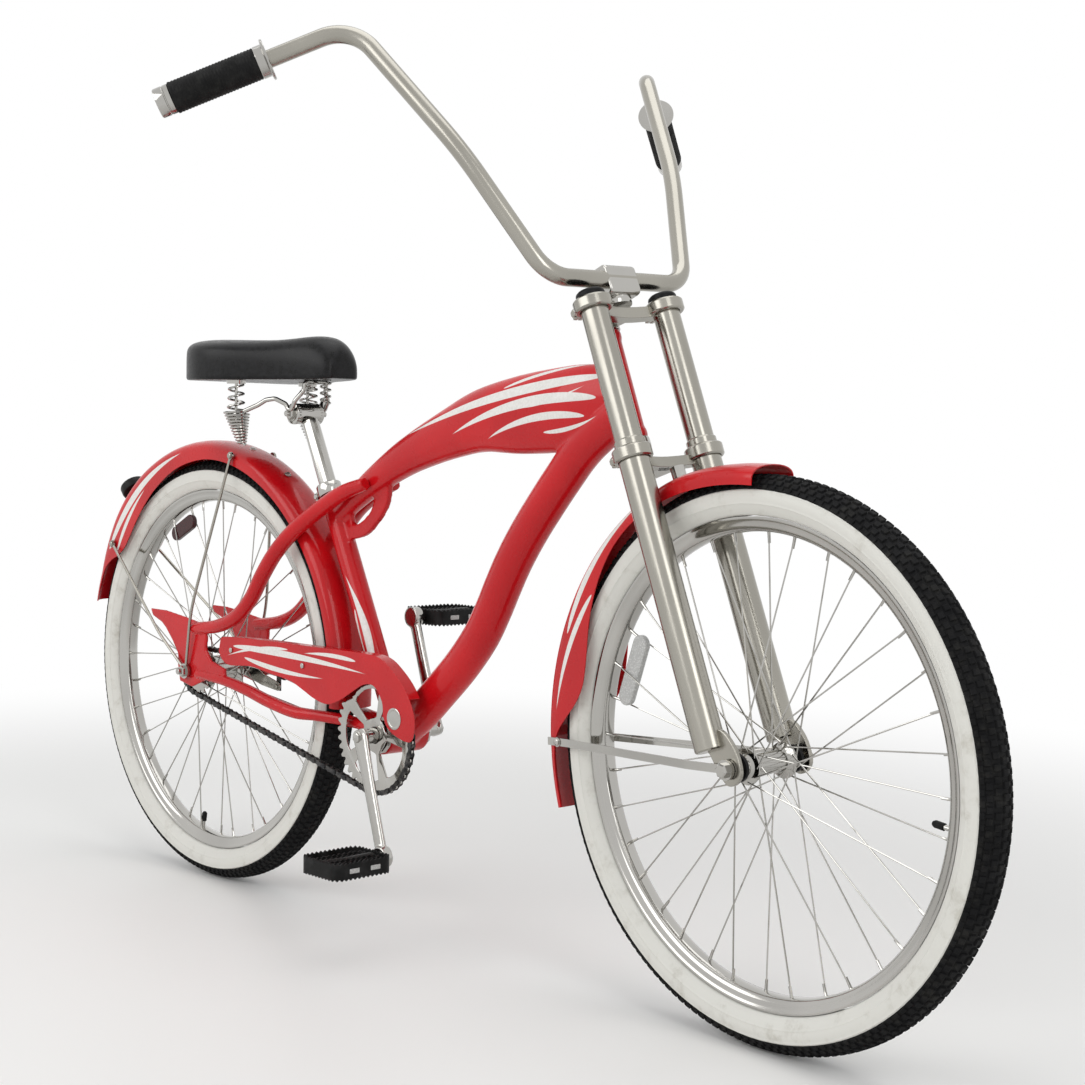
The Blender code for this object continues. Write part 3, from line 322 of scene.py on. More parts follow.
FLAMES = {
    "frame": blades(ground_point,
                    ((0.48, 0.706), (0.868, 0.783), 0.012, 0.008),
                    ((0.59, 0.708), (0.86, 0.756), 0.016, 0.0085),
                    ((0.66, 0.702), (0.842, 0.733), 0.012, 0.0062),
                    ((0.846, 0.799), (0.69, 0.769), -0.005, 0.003),
                    ((0.842, 0.772), (0.715, 0.744), 0.006, 0.0032),
                    ((0.866, 0.734), (0.77, 0.712), 0.005, 0.0036))
    + blades(lambda distance: GROUND @ seat_point(distance),
             ((0.245,), (0.075,), 0.008, 0.0065), ((0.08,), (0.19,), 0.007, 0.004)),
    "guard": blades(ground_point,
                    ((0.452, 0.372), (0.12, 0.383), -0.004, 0.0062),
                    ((0.352, 0.356), (0.15, 0.368), 0.005, 0.0048),
                    ((0.1, 0.366), (0.262, 0.39), 0.006, 0.0034),
                    ((0.3, 0.388), (0.425, 0.388), 0.003, 0.004)),
    "rear": blades(lambda radius, angle: REAR @ polar(radius, angle),
                   ((0.348, 100.0), (0.334, 148.0), -0.027, 0.0075),
                   ((0.33, 121.0), (0.312, 146.0), -0.008, 0.005)),
    "front": blades(lambda radius, angle: FRONT @ polar(radius, angle),
                    ((0.345, 118.0), (0.334, 158.0), -0.021, 0.0055),
                    ((0.332, 176.0), (0.318, 146.0), 0.011, 0.005)),
}
# stretches the fork's painted reflection streaks and its roughness marks along the height of the legs
FORK_STREAK_STRETCH = (1.0, 1.0, 0.3)
FINISHES = {
    "red_paint": red_paint(),
    "chrome": chrome("bright_chrome", (0.46, 0.45, 0.425), 0.11),
    "satin_chrome": chrome("fork_chrome", (0.37, 0.355, 0.315), 0.21, FORK_STREAK_STRETCH),
    "tyre_rubber": worn("tyre_black", (0.01, 0.01, 0.01), 0.72, ((70.0, 6.0, 0.7), 0.45, 0.75),
                        ((0.007, 0.007, 0.0075), (0.022, 0.021, 0.019)), ((30.0,), 0.6, 0.85),
                        ((900.0,), 0.25, 0.0005)).material,
    "whitewall": worn("whitewall_rubber", (0.7, 0.69, 0.64), 0.55, ((35.0, 6.0, 0.65), 0.5, 0.8),
                      ((0.72, 0.71, 0.66), (0.52, 0.5, 0.44)),
                      grain=((500.0,), 0.15, 0.0005)).material,
    "black_vinyl": vinyl(),
    "black_rubber": worn("grip_rubber", (0.008, 0.008, 0.008), 0.6, ((90.0, 5.0, 0.6), 0.4, 0.75),
                         ((0.006, 0.006, 0.006), (0.016, 0.016, 0.015)), ((40.0,), 0.48, 0.72),
                         ((700.0, 2.0), 0.2, 0.0004)).material,
    "black_plastic": worn("moulded_black", (0.01, 0.01, 0.01), 0.42, ((50.0, 4.0), 0.4, 0.7),
                          ((0.007, 0.007, 0.007), (0.018, 0.018, 0.018)),
                          ((600.0, 2.0), 0.34, 0.52), ((600.0, 2.0), 0.15, 0.0003)).material,
    "black_steel": worn("oiled_steel", (0.05, 0.05, 0.05), 0.36, ((160.0, 5.0, 0.6), 0.35, 0.7),
                        ((0.03, 0.03, 0.032), (0.11, 0.105, 0.1)), ((220.0, 4.0), 0.26, 0.5),
                        metal=0.9).material,
    "red_lens": lens("red_reflector", (0.45, 0.01, 0.012), 0.4),
    "clear_lens": lens("clear_reflector", (0.66, 0.66, 0.64), 0.7),
    "dark_lens": lens("smoked_reflector", (0.075, 0.004, 0.006), 0.4),
}
for part, flame in FLAMES.items():
    FINISHES[part + "_red"] = red_paint("red_" + part + "_flame", flame)


# Mesh helpers: each returns (vertices, faces)
def spline(points, steps):
    """A smooth curve through the points."""
    pts = [Vector(p) for p in points]
    pts = [pts[0] * 2 - pts[1]] + pts + [pts[-1] * 2 - pts[-2]]
    out = []
    for i in range(1, len(pts) - 2):
        a, b, c, d = pts[i - 1: i + 3]
        for s in range(steps):
            t = s / steps
            out.append(0.5 * (2 * b + (c - a) * t + (2 * a - 5 * b + 4 * c - d) * t * t
                              + (3 * b - a - 3 * c + d) * t ** 3))
    out.append(pts[-2])
    return out


def filleted(points, radii, steps=12):
    """A path with each inner corner rounded to its radius."""
    pts = [Vector(p) for p in points]
    out = [pts[0]]
    for i in range(1, len(pts) - 1):
        corner = pts[i]
        back = (pts[i - 1] - corner).normalized()
        ahead = (pts[i + 1] - corner).normalized()
        half = back.angle(ahead) / 2
        reach = radii[i - 1] / math.tan(half)
        centre = corner + (back + ahead).normalized() * (radii[i - 1] / math.sin(half))
        start = corner + back * reach - centre
        end = corner + ahead * reach - centre
        turn = start.angle(end)
        for s in range(steps + 1):
            t = s / steps
            arm = start * math.sin((1 - t) * turn) + end * math.sin(t * turn)
            out.append(centre + arm / math.sin(turn))
    out.append(pts[-1])
    return out


def frames(path):
    """A tangent and two side directions at each point, carried along without twist."""
    out = []
    side = None
    for i, p in enumerate(path):
        ahead = path[min(i + 1, len(path) - 1)] - path[max(i - 1, 0)]
        ahead.normalize()
        if side is None:
            side = Vector((0, 1, 0)) if abs(ahead.y) < 0.9 else Vector((0, 0, 1))
        side = (side - ahead * side.dot(ahead)).normalized()
        out.append((p, ahead, side, ahead.cross(side)))
    return out


def skin(rings, closed=False):
    """Joins rings of equal size into a body, with caps unless it closes on itself."""
    count = len(rings[0])
    verts = [v for ring in rings for v in ring]
    faces = []
    for i in range(len(rings) if closed else len(rings) - 1):
        a = i * count
        b = ((i + 1) % len(rings)) * count
        for j in range(count):
            k = (j + 1) % count
            faces.append((a + j, a + k, b + k, b + j))
    if not closed:
        last = (len(rings) - 1) * count
        faces += [tuple(range(count)), tuple(reversed(range(last, last + count)))]
    return verts, faces


def signed_power(value, power):
    return math.copysign(abs(value) ** power, value)


def tube(path, radius, sides=TUBE_SIDES, flat=1.0, power=1.0):
    """A round or oval bar. radius and flat are one number or one per point."""
    rings = []
    for i, (p, _, side, up) in enumerate(frames([Vector(q) for q in path])):
        r = radius[i] if isinstance(radius, (list, tuple)) else radius
        w = flat[i] if isinstance(flat, (list, tuple)) else flat
        ring = []
        for s in range(sides):
            turn = 2 * math.pi * s / sides
            c = signed_power(math.cos(turn), power)
            n = signed_power(math.sin(turn), power)
            ring.append(p + side * (c * r * w) + up * (n * r))
        rings.append(ring)
    return skin(rings)


def tapered(rows, steps, sides, power=1.0):
    """A smooth bar through rows of (x, y, z, radius, width to height)."""
    fine = spline(rows, steps)
    return tube([v[:3] for v in fine], [v[3] for v in fine], sides, [v[4] for v in fine], power)


def turned(profile, segments=48, closed=False):
    """A body turned about the Y axis. profile is (y, radius); closed makes a ring of it."""
    rings = []
    for s in range(segments):
        turn = 2 * math.pi * s / segments
        rings.append([Vector((r * math.cos(turn), y, r * math.sin(turn))) for y, r in profile])
    return skin(rings, closed=True) if closed else skin(list(zip(*rings)))


def peg(low, high, radius, segments):
    return turned([(low, radius), (high, radius)], segments)


def hoop(low, high, bore, radius, segments):
    return turned([(low, bore), (low, radius), (high, radius), (high, bore)], segments, closed=True)


def mirrored(half, shared=1):
    """A section's half with its mirror image. They share the half's last points, or none."""
    return half + [(-y, r) for y, r in half[-1 - shared::-1]]


def prism(outline, low, high):
    """A flat plate along Y with the given (x, z) outline."""
    return skin([[Vector((x, y, z)) for x, z in outline] for y in (low, high)])


def slab(outline, low, high):
    """A flat plate along Z with the given (x, y) outline."""
    return skin([[Vector((x, y, z)) for x, y in outline] for z in (low, high)])


def block(low, high):
    (x0, y0, z0), (x1, y1, z1) = low, high
    return prism([(x0, z0), (x1, z0), (x1, z1), (x0, z1)], y0, y1)


def strap(points, across, width, thick):
    """A flat bar bent along some points. across is the direction of its width."""
    rings = []
    for p, ahead, _, _ in frames([Vector(q) for q in points]):
        wide = Vector(across)
        wide = (wide - ahead * wide.dot(ahead)).normalized() * (width / 2)
        deep = ahead.cross(wide).normalized() * (thick / 2)
        rings.append([p + wide + deep, p - wide + deep, p - wide - deep, p + wide - deep])
    return skin(rings)


def merged(*parts):
    """Several bodies in one mesh. A part is a body, or (body, matrix)."""
    verts, faces = [], []
    for part in parts:
        body, place = part if isinstance(part[1], Matrix) else (part, Matrix.Identity(4))
        start = len(verts)
        verts += [place @ Vector(v) for v in body[0]]
        faces += [tuple(start + i for i in face) for face in body[1]]
    return verts, faces


def along(start, direction):
    """Turns the Y axis of a shape to the direction and moves it to the start."""
    turn = Vector((0, 1, 0)).rotation_difference(Vector(direction)).to_matrix().to_4x4()
    return Matrix.Translation(Vector(start)) @ turn


def circle(centre, radius, count, start=0.0, sweep=2 * math.pi):
    out = []
    for s in range(count):
        turn = start + sweep * s / count
        out.append((centre[0] + radius * math.cos(turn), centre[1] + radius * math.sin(turn)))
    return out


def hull(circles, count=40):
    """The outline of the convex web round some circles, each given as (x, z, radius)."""
    pts = []
    for x, z, r in circles:
        pts += circle((x, z), r, count)
    pts = sorted(set(pts))
    sides = []
    for order in (pts, pts[::-1]):
        line = []
        for p in order:
            while len(line) > 1:
                (ax, az), (bx, bz) = line[-2], line[-1]
                if (bx - ax) * (p[1] - az) - (bz - az) * (p[0] - ax) > 1e-12:
                    break
                line.pop()
            line.append(p)
        sides += line[:-1]
    return sides


def bolt(radius, height, spot, direction, plain=False):
    """A hexagon head with a chamfer, on a washer unless it is plain, and its place."""
    foot = 0.0 if plain else height * 0.25
    head = turned([(foot, radius), (height * 0.85, radius), (height, radius * 0.82)], 6)
    if not plain:
        head = merged(head, peg(0.0, foot, radius * 1.35, 24))
    return head, along(spot, direction)


# Object helpers
def outward_mesh(name, body, place):
    """A mesh with its faces turned outward, moved to its place."""
    verts, faces = body
    mesh = bpy.data.meshes.new(name)
    mesh.from_pydata([tuple(v) for v in verts], [], [tuple(f) for f in faces])
    bm = bmesh.new()
    bm.from_mesh(mesh)
    bmesh.ops.recalc_face_normals(bm, faces=bm.faces)
    bm.to_mesh(mesh)
    bm.free()
    mesh.transform(place)
    return mesh


def piece(name, body, rides, finish, place=GROUND, stands_for=(), sharp=35.0):
    """Adds one piece in its place, with its finish, on the CAD body that it rides."""
    mesh = outward_mesh(name, body, place)
    mesh.shade_smooth()
    mesh.set_sharp_from_angle(angle=math.radians(sharp))
    mesh.materials.append(FINISHES[finish])
    item = linked(name, mesh)
    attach(item, rides)
    if stands_for:
        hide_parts(*stands_for)
    return item


def modify(item, kind, **settings):
    made = item.modifiers.new(kind.lower(), kind)
    for key, value in settings.items():
        setattr(made, key, value)
    return item


def soften(item, width, segments=2, angle=35.0):
    return modify(item, "BEVEL", width=width, segments=segments, limit_method="ANGLE",
                  angle_limit=math.radians(angle))


def settle(item):
    """Turns the modifiers' result into the mesh itself."""
    graph = bpy.context.evaluated_depsgraph_get()
    mesh = bpy.data.meshes.new_from_object(item.evaluated_get(graph))
    item.modifiers.clear()
    item.data = mesh
    return item


def weld(item, voxel, smoothing):
    """Melts overlapping bodies into one skin, so that every joint gets a small fillet."""
    modify(item, "REMESH", mode="VOXEL", voxel_size=voxel, use_smooth_shade=True)
    modify(item, "SMOOTH", factor=0.5, iterations=smoothing)
    return settle(item)


def carve(item, shapes, place):
    """Cuts some bodies out of a piece and turns the result into the mesh itself."""
    cutter = linked("cutter", outward_mesh("cutter", merged(*shapes), place))
    modify(item, "BOOLEAN", operation="DIFFERENCE", solver="EXACT", object=cutter)
    settle(item)
    bpy.data.objects.remove(cutter, do_unlink=True)


# Frame
TANK = [
    # x, z, half height, width to height
    (0.886, 0.7475, 0.046, 0.38), (0.83, 0.746, 0.053, 0.46), (0.775, 0.741, 0.0545, 0.5),
    (0.702, 0.735, 0.0515, 0.54), (0.629, 0.728, 0.043, 0.62), (0.562, 0.71, 0.035, 0.68),
    (0.499, 0.689, 0.029, 0.74), (0.452, 0.67, 0.025, 0.8), (0.403, 0.6455, 0.0208, 0.88),
    (0.36, 0.621, 0.0172, 0.94), (0.315, 0.591, 0.0135, 1.0),
]
DOWN_TUBE = [(0.888, 0.734), (0.857, 0.718), (0.818, 0.69), (0.782, 0.653), (0.748, 0.615),
             (0.718, 0.579), (0.692, 0.543), (0.671, 0.508), (0.652, 0.474), (0.628, 0.437),
             (0.591, 0.396), (0.546, 0.355), (0.503, 0.318), (0.464, 0.29)]
DOWN_TUBE_R, SEAT_TUBE_R, SHELL_R, SHELL_HALF = 0.0262, 0.0165, 0.0285, 0.034
HEAD_TUBE = [(0.0, 0.0195), (0.003, 0.0207), (0.01, 0.0207), (0.014, 0.019), (0.129, 0.019),
             (0.133, 0.0207), (0.14, 0.0207), (HEAD_LENGTH, 0.0195)]
GUSSET_EDGE = [(0.43, 0.644), (0.427, 0.611), (0.404, 0.583), (0.377, 0.563), (0.343, 0.555),
               (0.316, 0.553)]
GUSSET_ROOT = [(0.308, 0.595), (0.33, 0.606)]
GUSSET_SLOT = [(0.342, 0.602), (0.344, 0.585), (0.349, 0.578), (0.366, 0.581), (0.391, 0.601),
               (0.4, 0.632)]
GUSSET_HALF = 0.0045
SEAT_STAY = [
    # x, y, z, radius
    (0.406, 0.027, 0.638, 0.0095), (0.359, 0.032, 0.623, 0.0115), (0.31, 0.0365, 0.598, 0.012),
    (0.262, 0.0465, 0.565, 0.012), (0.226, 0.053, 0.532, 0.012), (0.194, 0.055, 0.495, 0.012),
    (0.167, 0.056, 0.459, 0.0115), (0.128, 0.057, 0.428, 0.011), (0.078, 0.058, 0.41, 0.0105),
    (0.015, 0.0585, 0.402, 0.009),
]
CHAIN_STAY = [
    (0.425, 0.0245, 0.2915, 0.0085), (0.387, 0.025, 0.294, 0.0085),
    (0.352, 0.029, 0.2955, 0.0085), (0.31, 0.04, 0.297, 0.0085),
    (0.267, 0.047, 0.2975, 0.0095), (0.21, 0.052, 0.307, 0.0095),
    (0.158, 0.056, 0.319, 0.009), (0.1, 0.059, 0.328, 0.008),
    (0.028, 0.061, 0.332, 0.007),
]
DROPOUT = [(-0.112, 0.424), (-0.067, 0.424), (-0.013, 0.418), (0.032, 0.412), (0.052, 0.392),
           (0.049, 0.372), (0.064, 0.355), (0.102, 0.346), (0.103, 0.334), (0.044, 0.322),
           (0.01, 0.309), (-0.024, 0.315), (-0.03, 0.34), (-0.03, 0.358), (-0.046, 0.377),
           (-0.066, 0.396), (-0.078, 0.404), (-0.105, 0.413)]
DROPOUT_Y = (0.0555, 0.0605)


def make_frame():
    steps = 8
    tank = tapered([(x, 0, z, half, flat) for x, z, half, flat in TANK], steps, 40, 0.9)
    down = tube(spline([(x, 0, z) for x, z in DOWN_TUBE], steps), DOWN_TUBE_R, 36, 0.94)
    seat = turned([(0.0, SEAT_TUBE_R), (SEAT_TUBE_LENGTH - 0.004, SEAT_TUBE_R),
                   (SEAT_TUBE_LENGTH, SEAT_TUBE_R - 0.0005)], 36)
    shell = peg(-SHELL_HALF, SHELL_HALF, SHELL_R, 40)
    head_turn = GROUND.inverted() @ HEAD @ along((0, 0, 0), UP)
    gusset = spline(GUSSET_EDGE, steps) + GUSSET_ROOT + spline(GUSSET_SLOT, steps)
    body = merged(tank, down, (seat, along(BB, SEAT_AXIS)), (shell, Matrix.Translation(BB)),
                  (turned(HEAD_TUBE, 36), head_turn), prism(gusset, -GUSSET_HALF, GUSSET_HALF))
    weld(piece("frame_weldment", body, "frame", "frame_red", stands_for=("main_frame",)), 0.0022, 6)


def make_rear_triangle():
    for tag, sign in SIDES:
        parts = [prism(DROPOUT, sign * DROPOUT_Y[0], sign * DROPOUT_Y[1])]
        for stay in (SEAT_STAY, CHAIN_STAY):
            parts.append(tapered([(x, sign * y, z, r, 1.0) for x, y, z, r in stay], 6, 20))
        item = piece("rear_stays_" + tag, merged(*parts), "frame", "red_paint",
                     stands_for=("rear_stays_" + tag[0],))
        weld(item, 0.0016, 4)


# Wheels
TYRE_SIDE, TYRE_RISE, TYRE_MIDDLE = 0.0258, 0.0236, 0.3075


def tyre_profile():
    """Half of the tyre's section from the bead to the crown, as (y, radius)."""
    out = [(RIM_HALF - 0.0006, RIM_R + 0.0006), (RIM_HALF + 0.003, RIM_R + 0.003)]
    for angle in range(120, -1, -4):
        turn = math.radians(angle)
        rib = 0.0007 if angle in (108, 72, 64) else 0.0
        out.append(((TYRE_SIDE + rib) * math.sin(turn),
                    TYRE_MIDDLE + (TYRE_RISE + rib) * math.cos(turn)))
    return out


def knob(section_angle, turn, across, length, height):
    """A tread block on the tyre at an angle of the section and a turn of the wheel."""
    a = math.radians(section_angle)
    outward = Vector((math.sin(a), math.cos(a)))
    sideways = Vector((math.cos(a), -math.sin(a)))
    spot = Vector((TYRE_SIDE * math.sin(a), TYRE_MIDDLE + TYRE_RISE * math.cos(a)))
    rings = []
    for lift, shrink in ((-0.0012, 1.0), (height * 0.7, 0.92), (height, 0.76)):
        ring = []
        for s, t in ((-1, -1), (1, -1), (1, 1), (-1, 1)):
            y, r = spot + outward * lift + sideways * (s * across * shrink / 2)
            angle = turn + t * length * shrink / 2 / r
            ring.append(Vector((r * math.cos(angle), y, r * math.sin(angle))))
        rings.append(ring)
    return skin(rings)


KNOBS = 168
TREAD = [
    # angle of the section, shift along the tyre, then a knob's size across, along and outward
    (0, 0.0, 0.008, 0.0078, 0.0022), (23, 0.5, 0.0078, 0.0074, 0.0022),
    (44, 0.0, 0.007, 0.0078, 0.0021), (60, 0.5, 0.005, 0.0074, 0.0018),
]
WHITEWALL_R = 0.3168


def make_tyre(label, place):
    outer = mirrored(tyre_profile())
    segments = 120
    knobs = []
    for angle, shift, *size in TREAD:
        for section in sorted({angle, -angle}, reverse=True):
            for k in range(KNOBS):
                knobs.append(knob(section, 2 * math.pi * (k + shift) / KNOBS, *size))
    item = piece(label + "_tyre_tread", merged(turned(outer, segments, closed=True), *knobs),
                 label + "_wheel", "tyre_rubber", place, (label + "_tyre",), sharp=40.0)
    item.data.materials.append(FINISHES["whitewall"])
    axis = (place.to_3x3() @ Vector((0, 1, 0))).normalized()
    for face in item.data.polygons:
        arm = face.center - place.translation
        radius = (arm - axis * arm.dot(axis)).length
        if radius < WHITEWALL_R and len(face.vertices) == 4 and face.index < segments * len(outer):
            face.material_index = 1


def make_rim(label, place):
    half = [(RIM_HALF, RIM_R - 0.0004), (RIM_HALF + 0.0002, RIM_R - 0.0022),
            (RIM_HALF - 0.0006, RIM_R - 0.0042), (0.0136, RIM_R - 0.006), (0.0132, 0.2752),
            (0.0118, 0.2712), (0.0085, 0.2682), (0.004, RIM_INNER_R + 0.0003),
            (0.0, RIM_INNER_R)]
    profile = mirrored(half) + [(-0.011, RIM_R - 0.002), (0.011, RIM_R - 0.002)]
    piece(label + "_rim_hoop", turned(profile, 180, closed=True), label + "_wheel", "chrome",
          place, (label + "_rim",), sharp=50.0)


# Degrees from a spoke's hole in the flange to its nipple
LACING = 60.0
SPOKE_R = 0.001


def make_hub_and_spokes(label, place, flange_y, flange_r, barrel_r, end_y):
    wheel = label + "_wheel"
    half = [(end_y, 0.006), (end_y, 0.0095), (flange_y + 0.006, 0.0115),
            (flange_y + 0.003, flange_r - 0.007), (flange_y + 0.0022, flange_r - 0.001),
            (flange_y + 0.0012, flange_r), (flange_y - 0.0002, flange_r),
            (flange_y - 0.0012, flange_r - 0.001), (flange_y - 0.002, barrel_r + 0.004),
            (flange_y - 0.006, barrel_r)]
    piece(label + "_hub_shell", turned(mirrored(half, 0), 60, closed=True), wheel, "chrome",
          place, (label + "_hub",))
    seals = [hoop(sign * (end_y - 0.004), sign * (end_y + 0.0004), 0.0098, 0.0165, 48)
             for sign in (1.0, -1.0)]
    piece(label + "_hub_seals", merged(*seals), wheel, "black_plastic", place)
    hole_r = flange_r - 0.0038
    parts = []
    for k in range(SPOKES):
        side = 1.0 if k % 2 else -1.0
        lean = 1.0 if (k // 2) % 2 else -1.0
        far = 360.0 * k / SPOKES
        start = polar(hole_r, far - lean * LACING, side * (flange_y + 0.0005 + 0.0018 * lean))
        end = polar(RIM_INNER_R + 0.001, far, side * 0.0035)
        nipple = polar(RIM_INNER_R - 0.013, far, side * 0.0045)
        bend = start - Vector((0, side * 0.0022 * lean, 0))
        parts.append(tube([bend, start, end], SPOKE_R, 8))
        parts.append(tube([nipple, nipple.lerp(end, 0.85), end], [0.0017, 0.0019, 0.0026], 8))
    piece(label + "_spokes", merged(*parts), wheel, "chrome", place)


def make_valve(label, place, angle):
    cap = turned([(0.012, 0.0042), (0.024, 0.0042), (0.027, 0.0026)], 16)
    spot = place @ along(polar(RIM_INNER_R + 0.002, angle), -polar(1.0, angle))
    piece(label + "_valve_stem", peg(0.0, 0.016, 0.003, 16), label + "_wheel", "chrome", spot)
    piece(label + "_valve_cap", cap, label + "_wheel", "black_rubber", spot)


def make_wheels():
    for label, place, *sizes in (("front", FRONT, 0.03, 0.0215, 0.013, 0.048),
                                 ("rear", REAR, 0.025, 0.03, 0.021, 0.037)):
        make_tyre(label, place)
        make_rim(label, place)
        make_hub_and_spokes(label, place, *sizes)
    make_valve("front", FRONT, -7.0)
    make_valve("rear", REAR, -100.0)


# Fenders
FRONT_FENDER = [
    # polar angle, radius of the skirt's edge, radius of the crown line
    (88.5, 0.321, 0.3445), (94.0, 0.322, 0.346), (102.0, 0.324, 0.3485),
    (110.0, 0.3265, 0.3515), (118.0, 0.329, 0.352), (126.0, 0.33, 0.352),
    (134.0, 0.3265, 0.352), (142.0, 0.318, 0.352), (150.0, 0.306, 0.352),
    (159.0, 0.291, 0.352), (165.0, 0.286, 0.352), (169.0, 0.288, 0.352),
    (173.0, 0.297, 0.352), (177.0, 0.313, 0.352), (181.0, 0.329, 0.352),
    (186.0, 0.335, 0.352), (197.0, 0.335, 0.352),
]
REAR_FENDER = [
    (-4.0, 0.338, 0.358), (4.0, 0.336, 0.358), (18.0, 0.336, 0.358), (32.0, 0.336, 0.358),
    (46.0, 0.3355, 0.358), (60.0, 0.335, 0.359), (74.0, 0.335, 0.361), (86.0, 0.334, 0.363),
    (94.0, 0.331, 0.364), (104.0, 0.326, 0.364), (114.0, 0.318, 0.364),
    (124.0, 0.309, 0.364), (132.0, 0.302, 0.363), (138.0, 0.298, 0.361),
    (143.0, 0.299, 0.358), (147.0, 0.308, 0.3555), (150.5, 0.321, 0.353),
    (154.0, 0.33, 0.3505), (159.0, 0.333, 0.347), (165.0, 0.3335, 0.345),
]
FENDER_STEPS = 5


def fender_shell(stations, half=FENDER_HALF, thick=0.0012):
    """A pressed shell lofted through the stations, with an arched crown and two skirts."""
    rings = []
    for angle, edge, crown in spline(stations, FENDER_STEPS):
        shoulder = max(crown - 0.016, edge + 0.0008)
        outer = [(half, edge), (half, (edge + shoulder) / 2), (half, shoulder)]
        for s in range(1, 7):
            turn = math.radians(90.0 * s / 6)
            reach = signed_power(math.cos(turn), 0.85)
            rise = signed_power(math.sin(turn), 0.85)
            outer.append((half * reach, shoulder + (crown - shoulder) * rise))
        outer[-1] = (0.0, crown)
        inner = [(-max(y - thick, 0.0), r - (thick if i > 2 else 0.0))
                 for i, (y, r) in enumerate(outer)]
        rings.append([polar(r, angle, y) for y, r in mirrored(outer) + mirrored(inner)])
    return skin(rings)


def make_fenders():
    for label, stations, body, place in (("front", FRONT_FENDER, "fork", FRONT),
                                         ("rear", REAR_FENDER, "frame", REAR)):
        piece(label + "_fender_shell", fender_shell(stations), body, label + "_red", place,
              (label + "_fender",), sharp=40.0)


# Saddle
SADDLE_STATIONS = [
    # x, half width, underside z, top z, z of the widest line, how round the arch is
    (0.041, 0.083, 0.7895, 0.8455, 0.82, 0.5),
    (0.0414, 0.087, 0.7886, 0.8482, 0.822, 0.5),
    (0.044, 0.094, 0.788, 0.8503, 0.823, 0.5),
    (0.06, 0.104, 0.7878, 0.8513, 0.823, 0.5),
    (0.085, 0.11, 0.7875, 0.8513, 0.822, 0.5),
    (0.111, 0.111, 0.787, 0.8506, 0.82, 0.52),
    (0.15, 0.102, 0.787, 0.8492, 0.818, 0.55),
    (0.188, 0.079, 0.7875, 0.8482, 0.815, 0.6),
    (0.223, 0.058, 0.7875, 0.85, 0.812, 0.66),
    (0.257, 0.046, 0.7872, 0.8532, 0.809, 0.72),
    (0.28, 0.041, 0.7875, 0.8522, 0.806, 0.78),
    (0.297, 0.037, 0.788, 0.8462, 0.804, 0.84),
    (0.309, 0.032, 0.7885, 0.8372, 0.802, 0.9),
    (0.316, 0.026, 0.789, 0.8272, 0.8, 0.95),
    (0.319, 0.018, 0.79, 0.8172, 0.799, 1.0),
]
SKIRT_CORNER = 0.0022


def make_saddle():
    """A padded top with upright skirts: each section is a flat base, two skirts and an arch."""
    rings = []
    for x, half, low, high, edge, arch in SADDLE_STATIONS:
        c = SKIRT_CORNER
        side = [(half * 0.5, low), (half - 3 * c, low), (half - c, low), (half, low + c),
                (half, low + 3 * c), (half, (low + edge) / 2), (half, edge)]
        for s in range(1, 9):
            turn = math.radians(90.0 * s / 8)
            side.append((half * math.cos(turn) ** arch,
                         edge + (high - edge) * math.sin(turn) ** (arch + 0.12)))
        side[-1] = (0.0, high)
        rings.append([Vector((x, y, z)) for y, z in mirrored(side) + [(0.0, low)]])
    item = piece("saddle_cover", skin(rings), "frame", "black_vinyl", stands_for=("saddle",),
                 sharp=180.0)
    settle(modify(item, "SUBSURF", levels=2, render_levels=2))


# Saddle's underside
HUB = GROUND.inverted() @ (sum(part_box("saddle_clamp"), Vector()) / 2)
SPRING_Y = 0.066


def coil(rows, wire_r, spot, steps=18, sides=8):
    """A spring wound through rows of (x, coil radius, z, turns up to the next row)."""
    path = []
    turned_by = 0.0
    for (x0, r0, z0, turns), (x1, r1, z1, _) in zip(rows, rows[1:]):
        count = max(2, int(turns * steps))
        for s in range(count):
            t = s / count
            turn = 2 * math.pi * (turned_by + turns * t)
            r = r0 + (r1 - r0) * t
            path.append(spot + Vector((x0 + (x1 - x0) * t + r * math.cos(turn),
                                       r * math.sin(turn), z0 + (z1 - z0) * t)))
        turned_by += turns
    return tube(path, wire_r, sides)


def make_saddle_springs():
    rear = -0.0859
    rise = [(-0.0694, 0.0055, -0.0475, 11.0), (-0.0844, 0.0192, 0.002, 0.5),
            (rear, 0.0125, 0.007, 3.2), (rear, 0.0105, 0.05, 0.6), (rear, 0.0105, 0.0506, 0.0)]
    nose = [(0.033, 0.0072, 0.015, 3.5), (0.033, 0.0078, 0.049, 0.0)]
    plate = turned([(0.044, 0.005), (0.044, 0.014), (0.05, 0.015), (0.0505, 0.015)], 24)
    for tag, sign in SIDES:
        spot = HUB + Vector((0, sign * SPRING_Y, 0))
        seat = along(spot + Vector((rear, 0, 0)), UP)
        body = merged(coil(rise, 0.0017, spot), (peg(0.001, 0.05, 0.0022, 12), seat),
                      (plate, seat))
        piece("saddle_coil_" + tag, body, "frame", "chrome",
              stands_for=("saddle_spring_" + tag[0],))
        front = coil(nose, 0.0014, HUB + Vector((0, sign * 0.0125, 0)))
        piece("nose_coil_" + tag, front, "frame", "chrome")


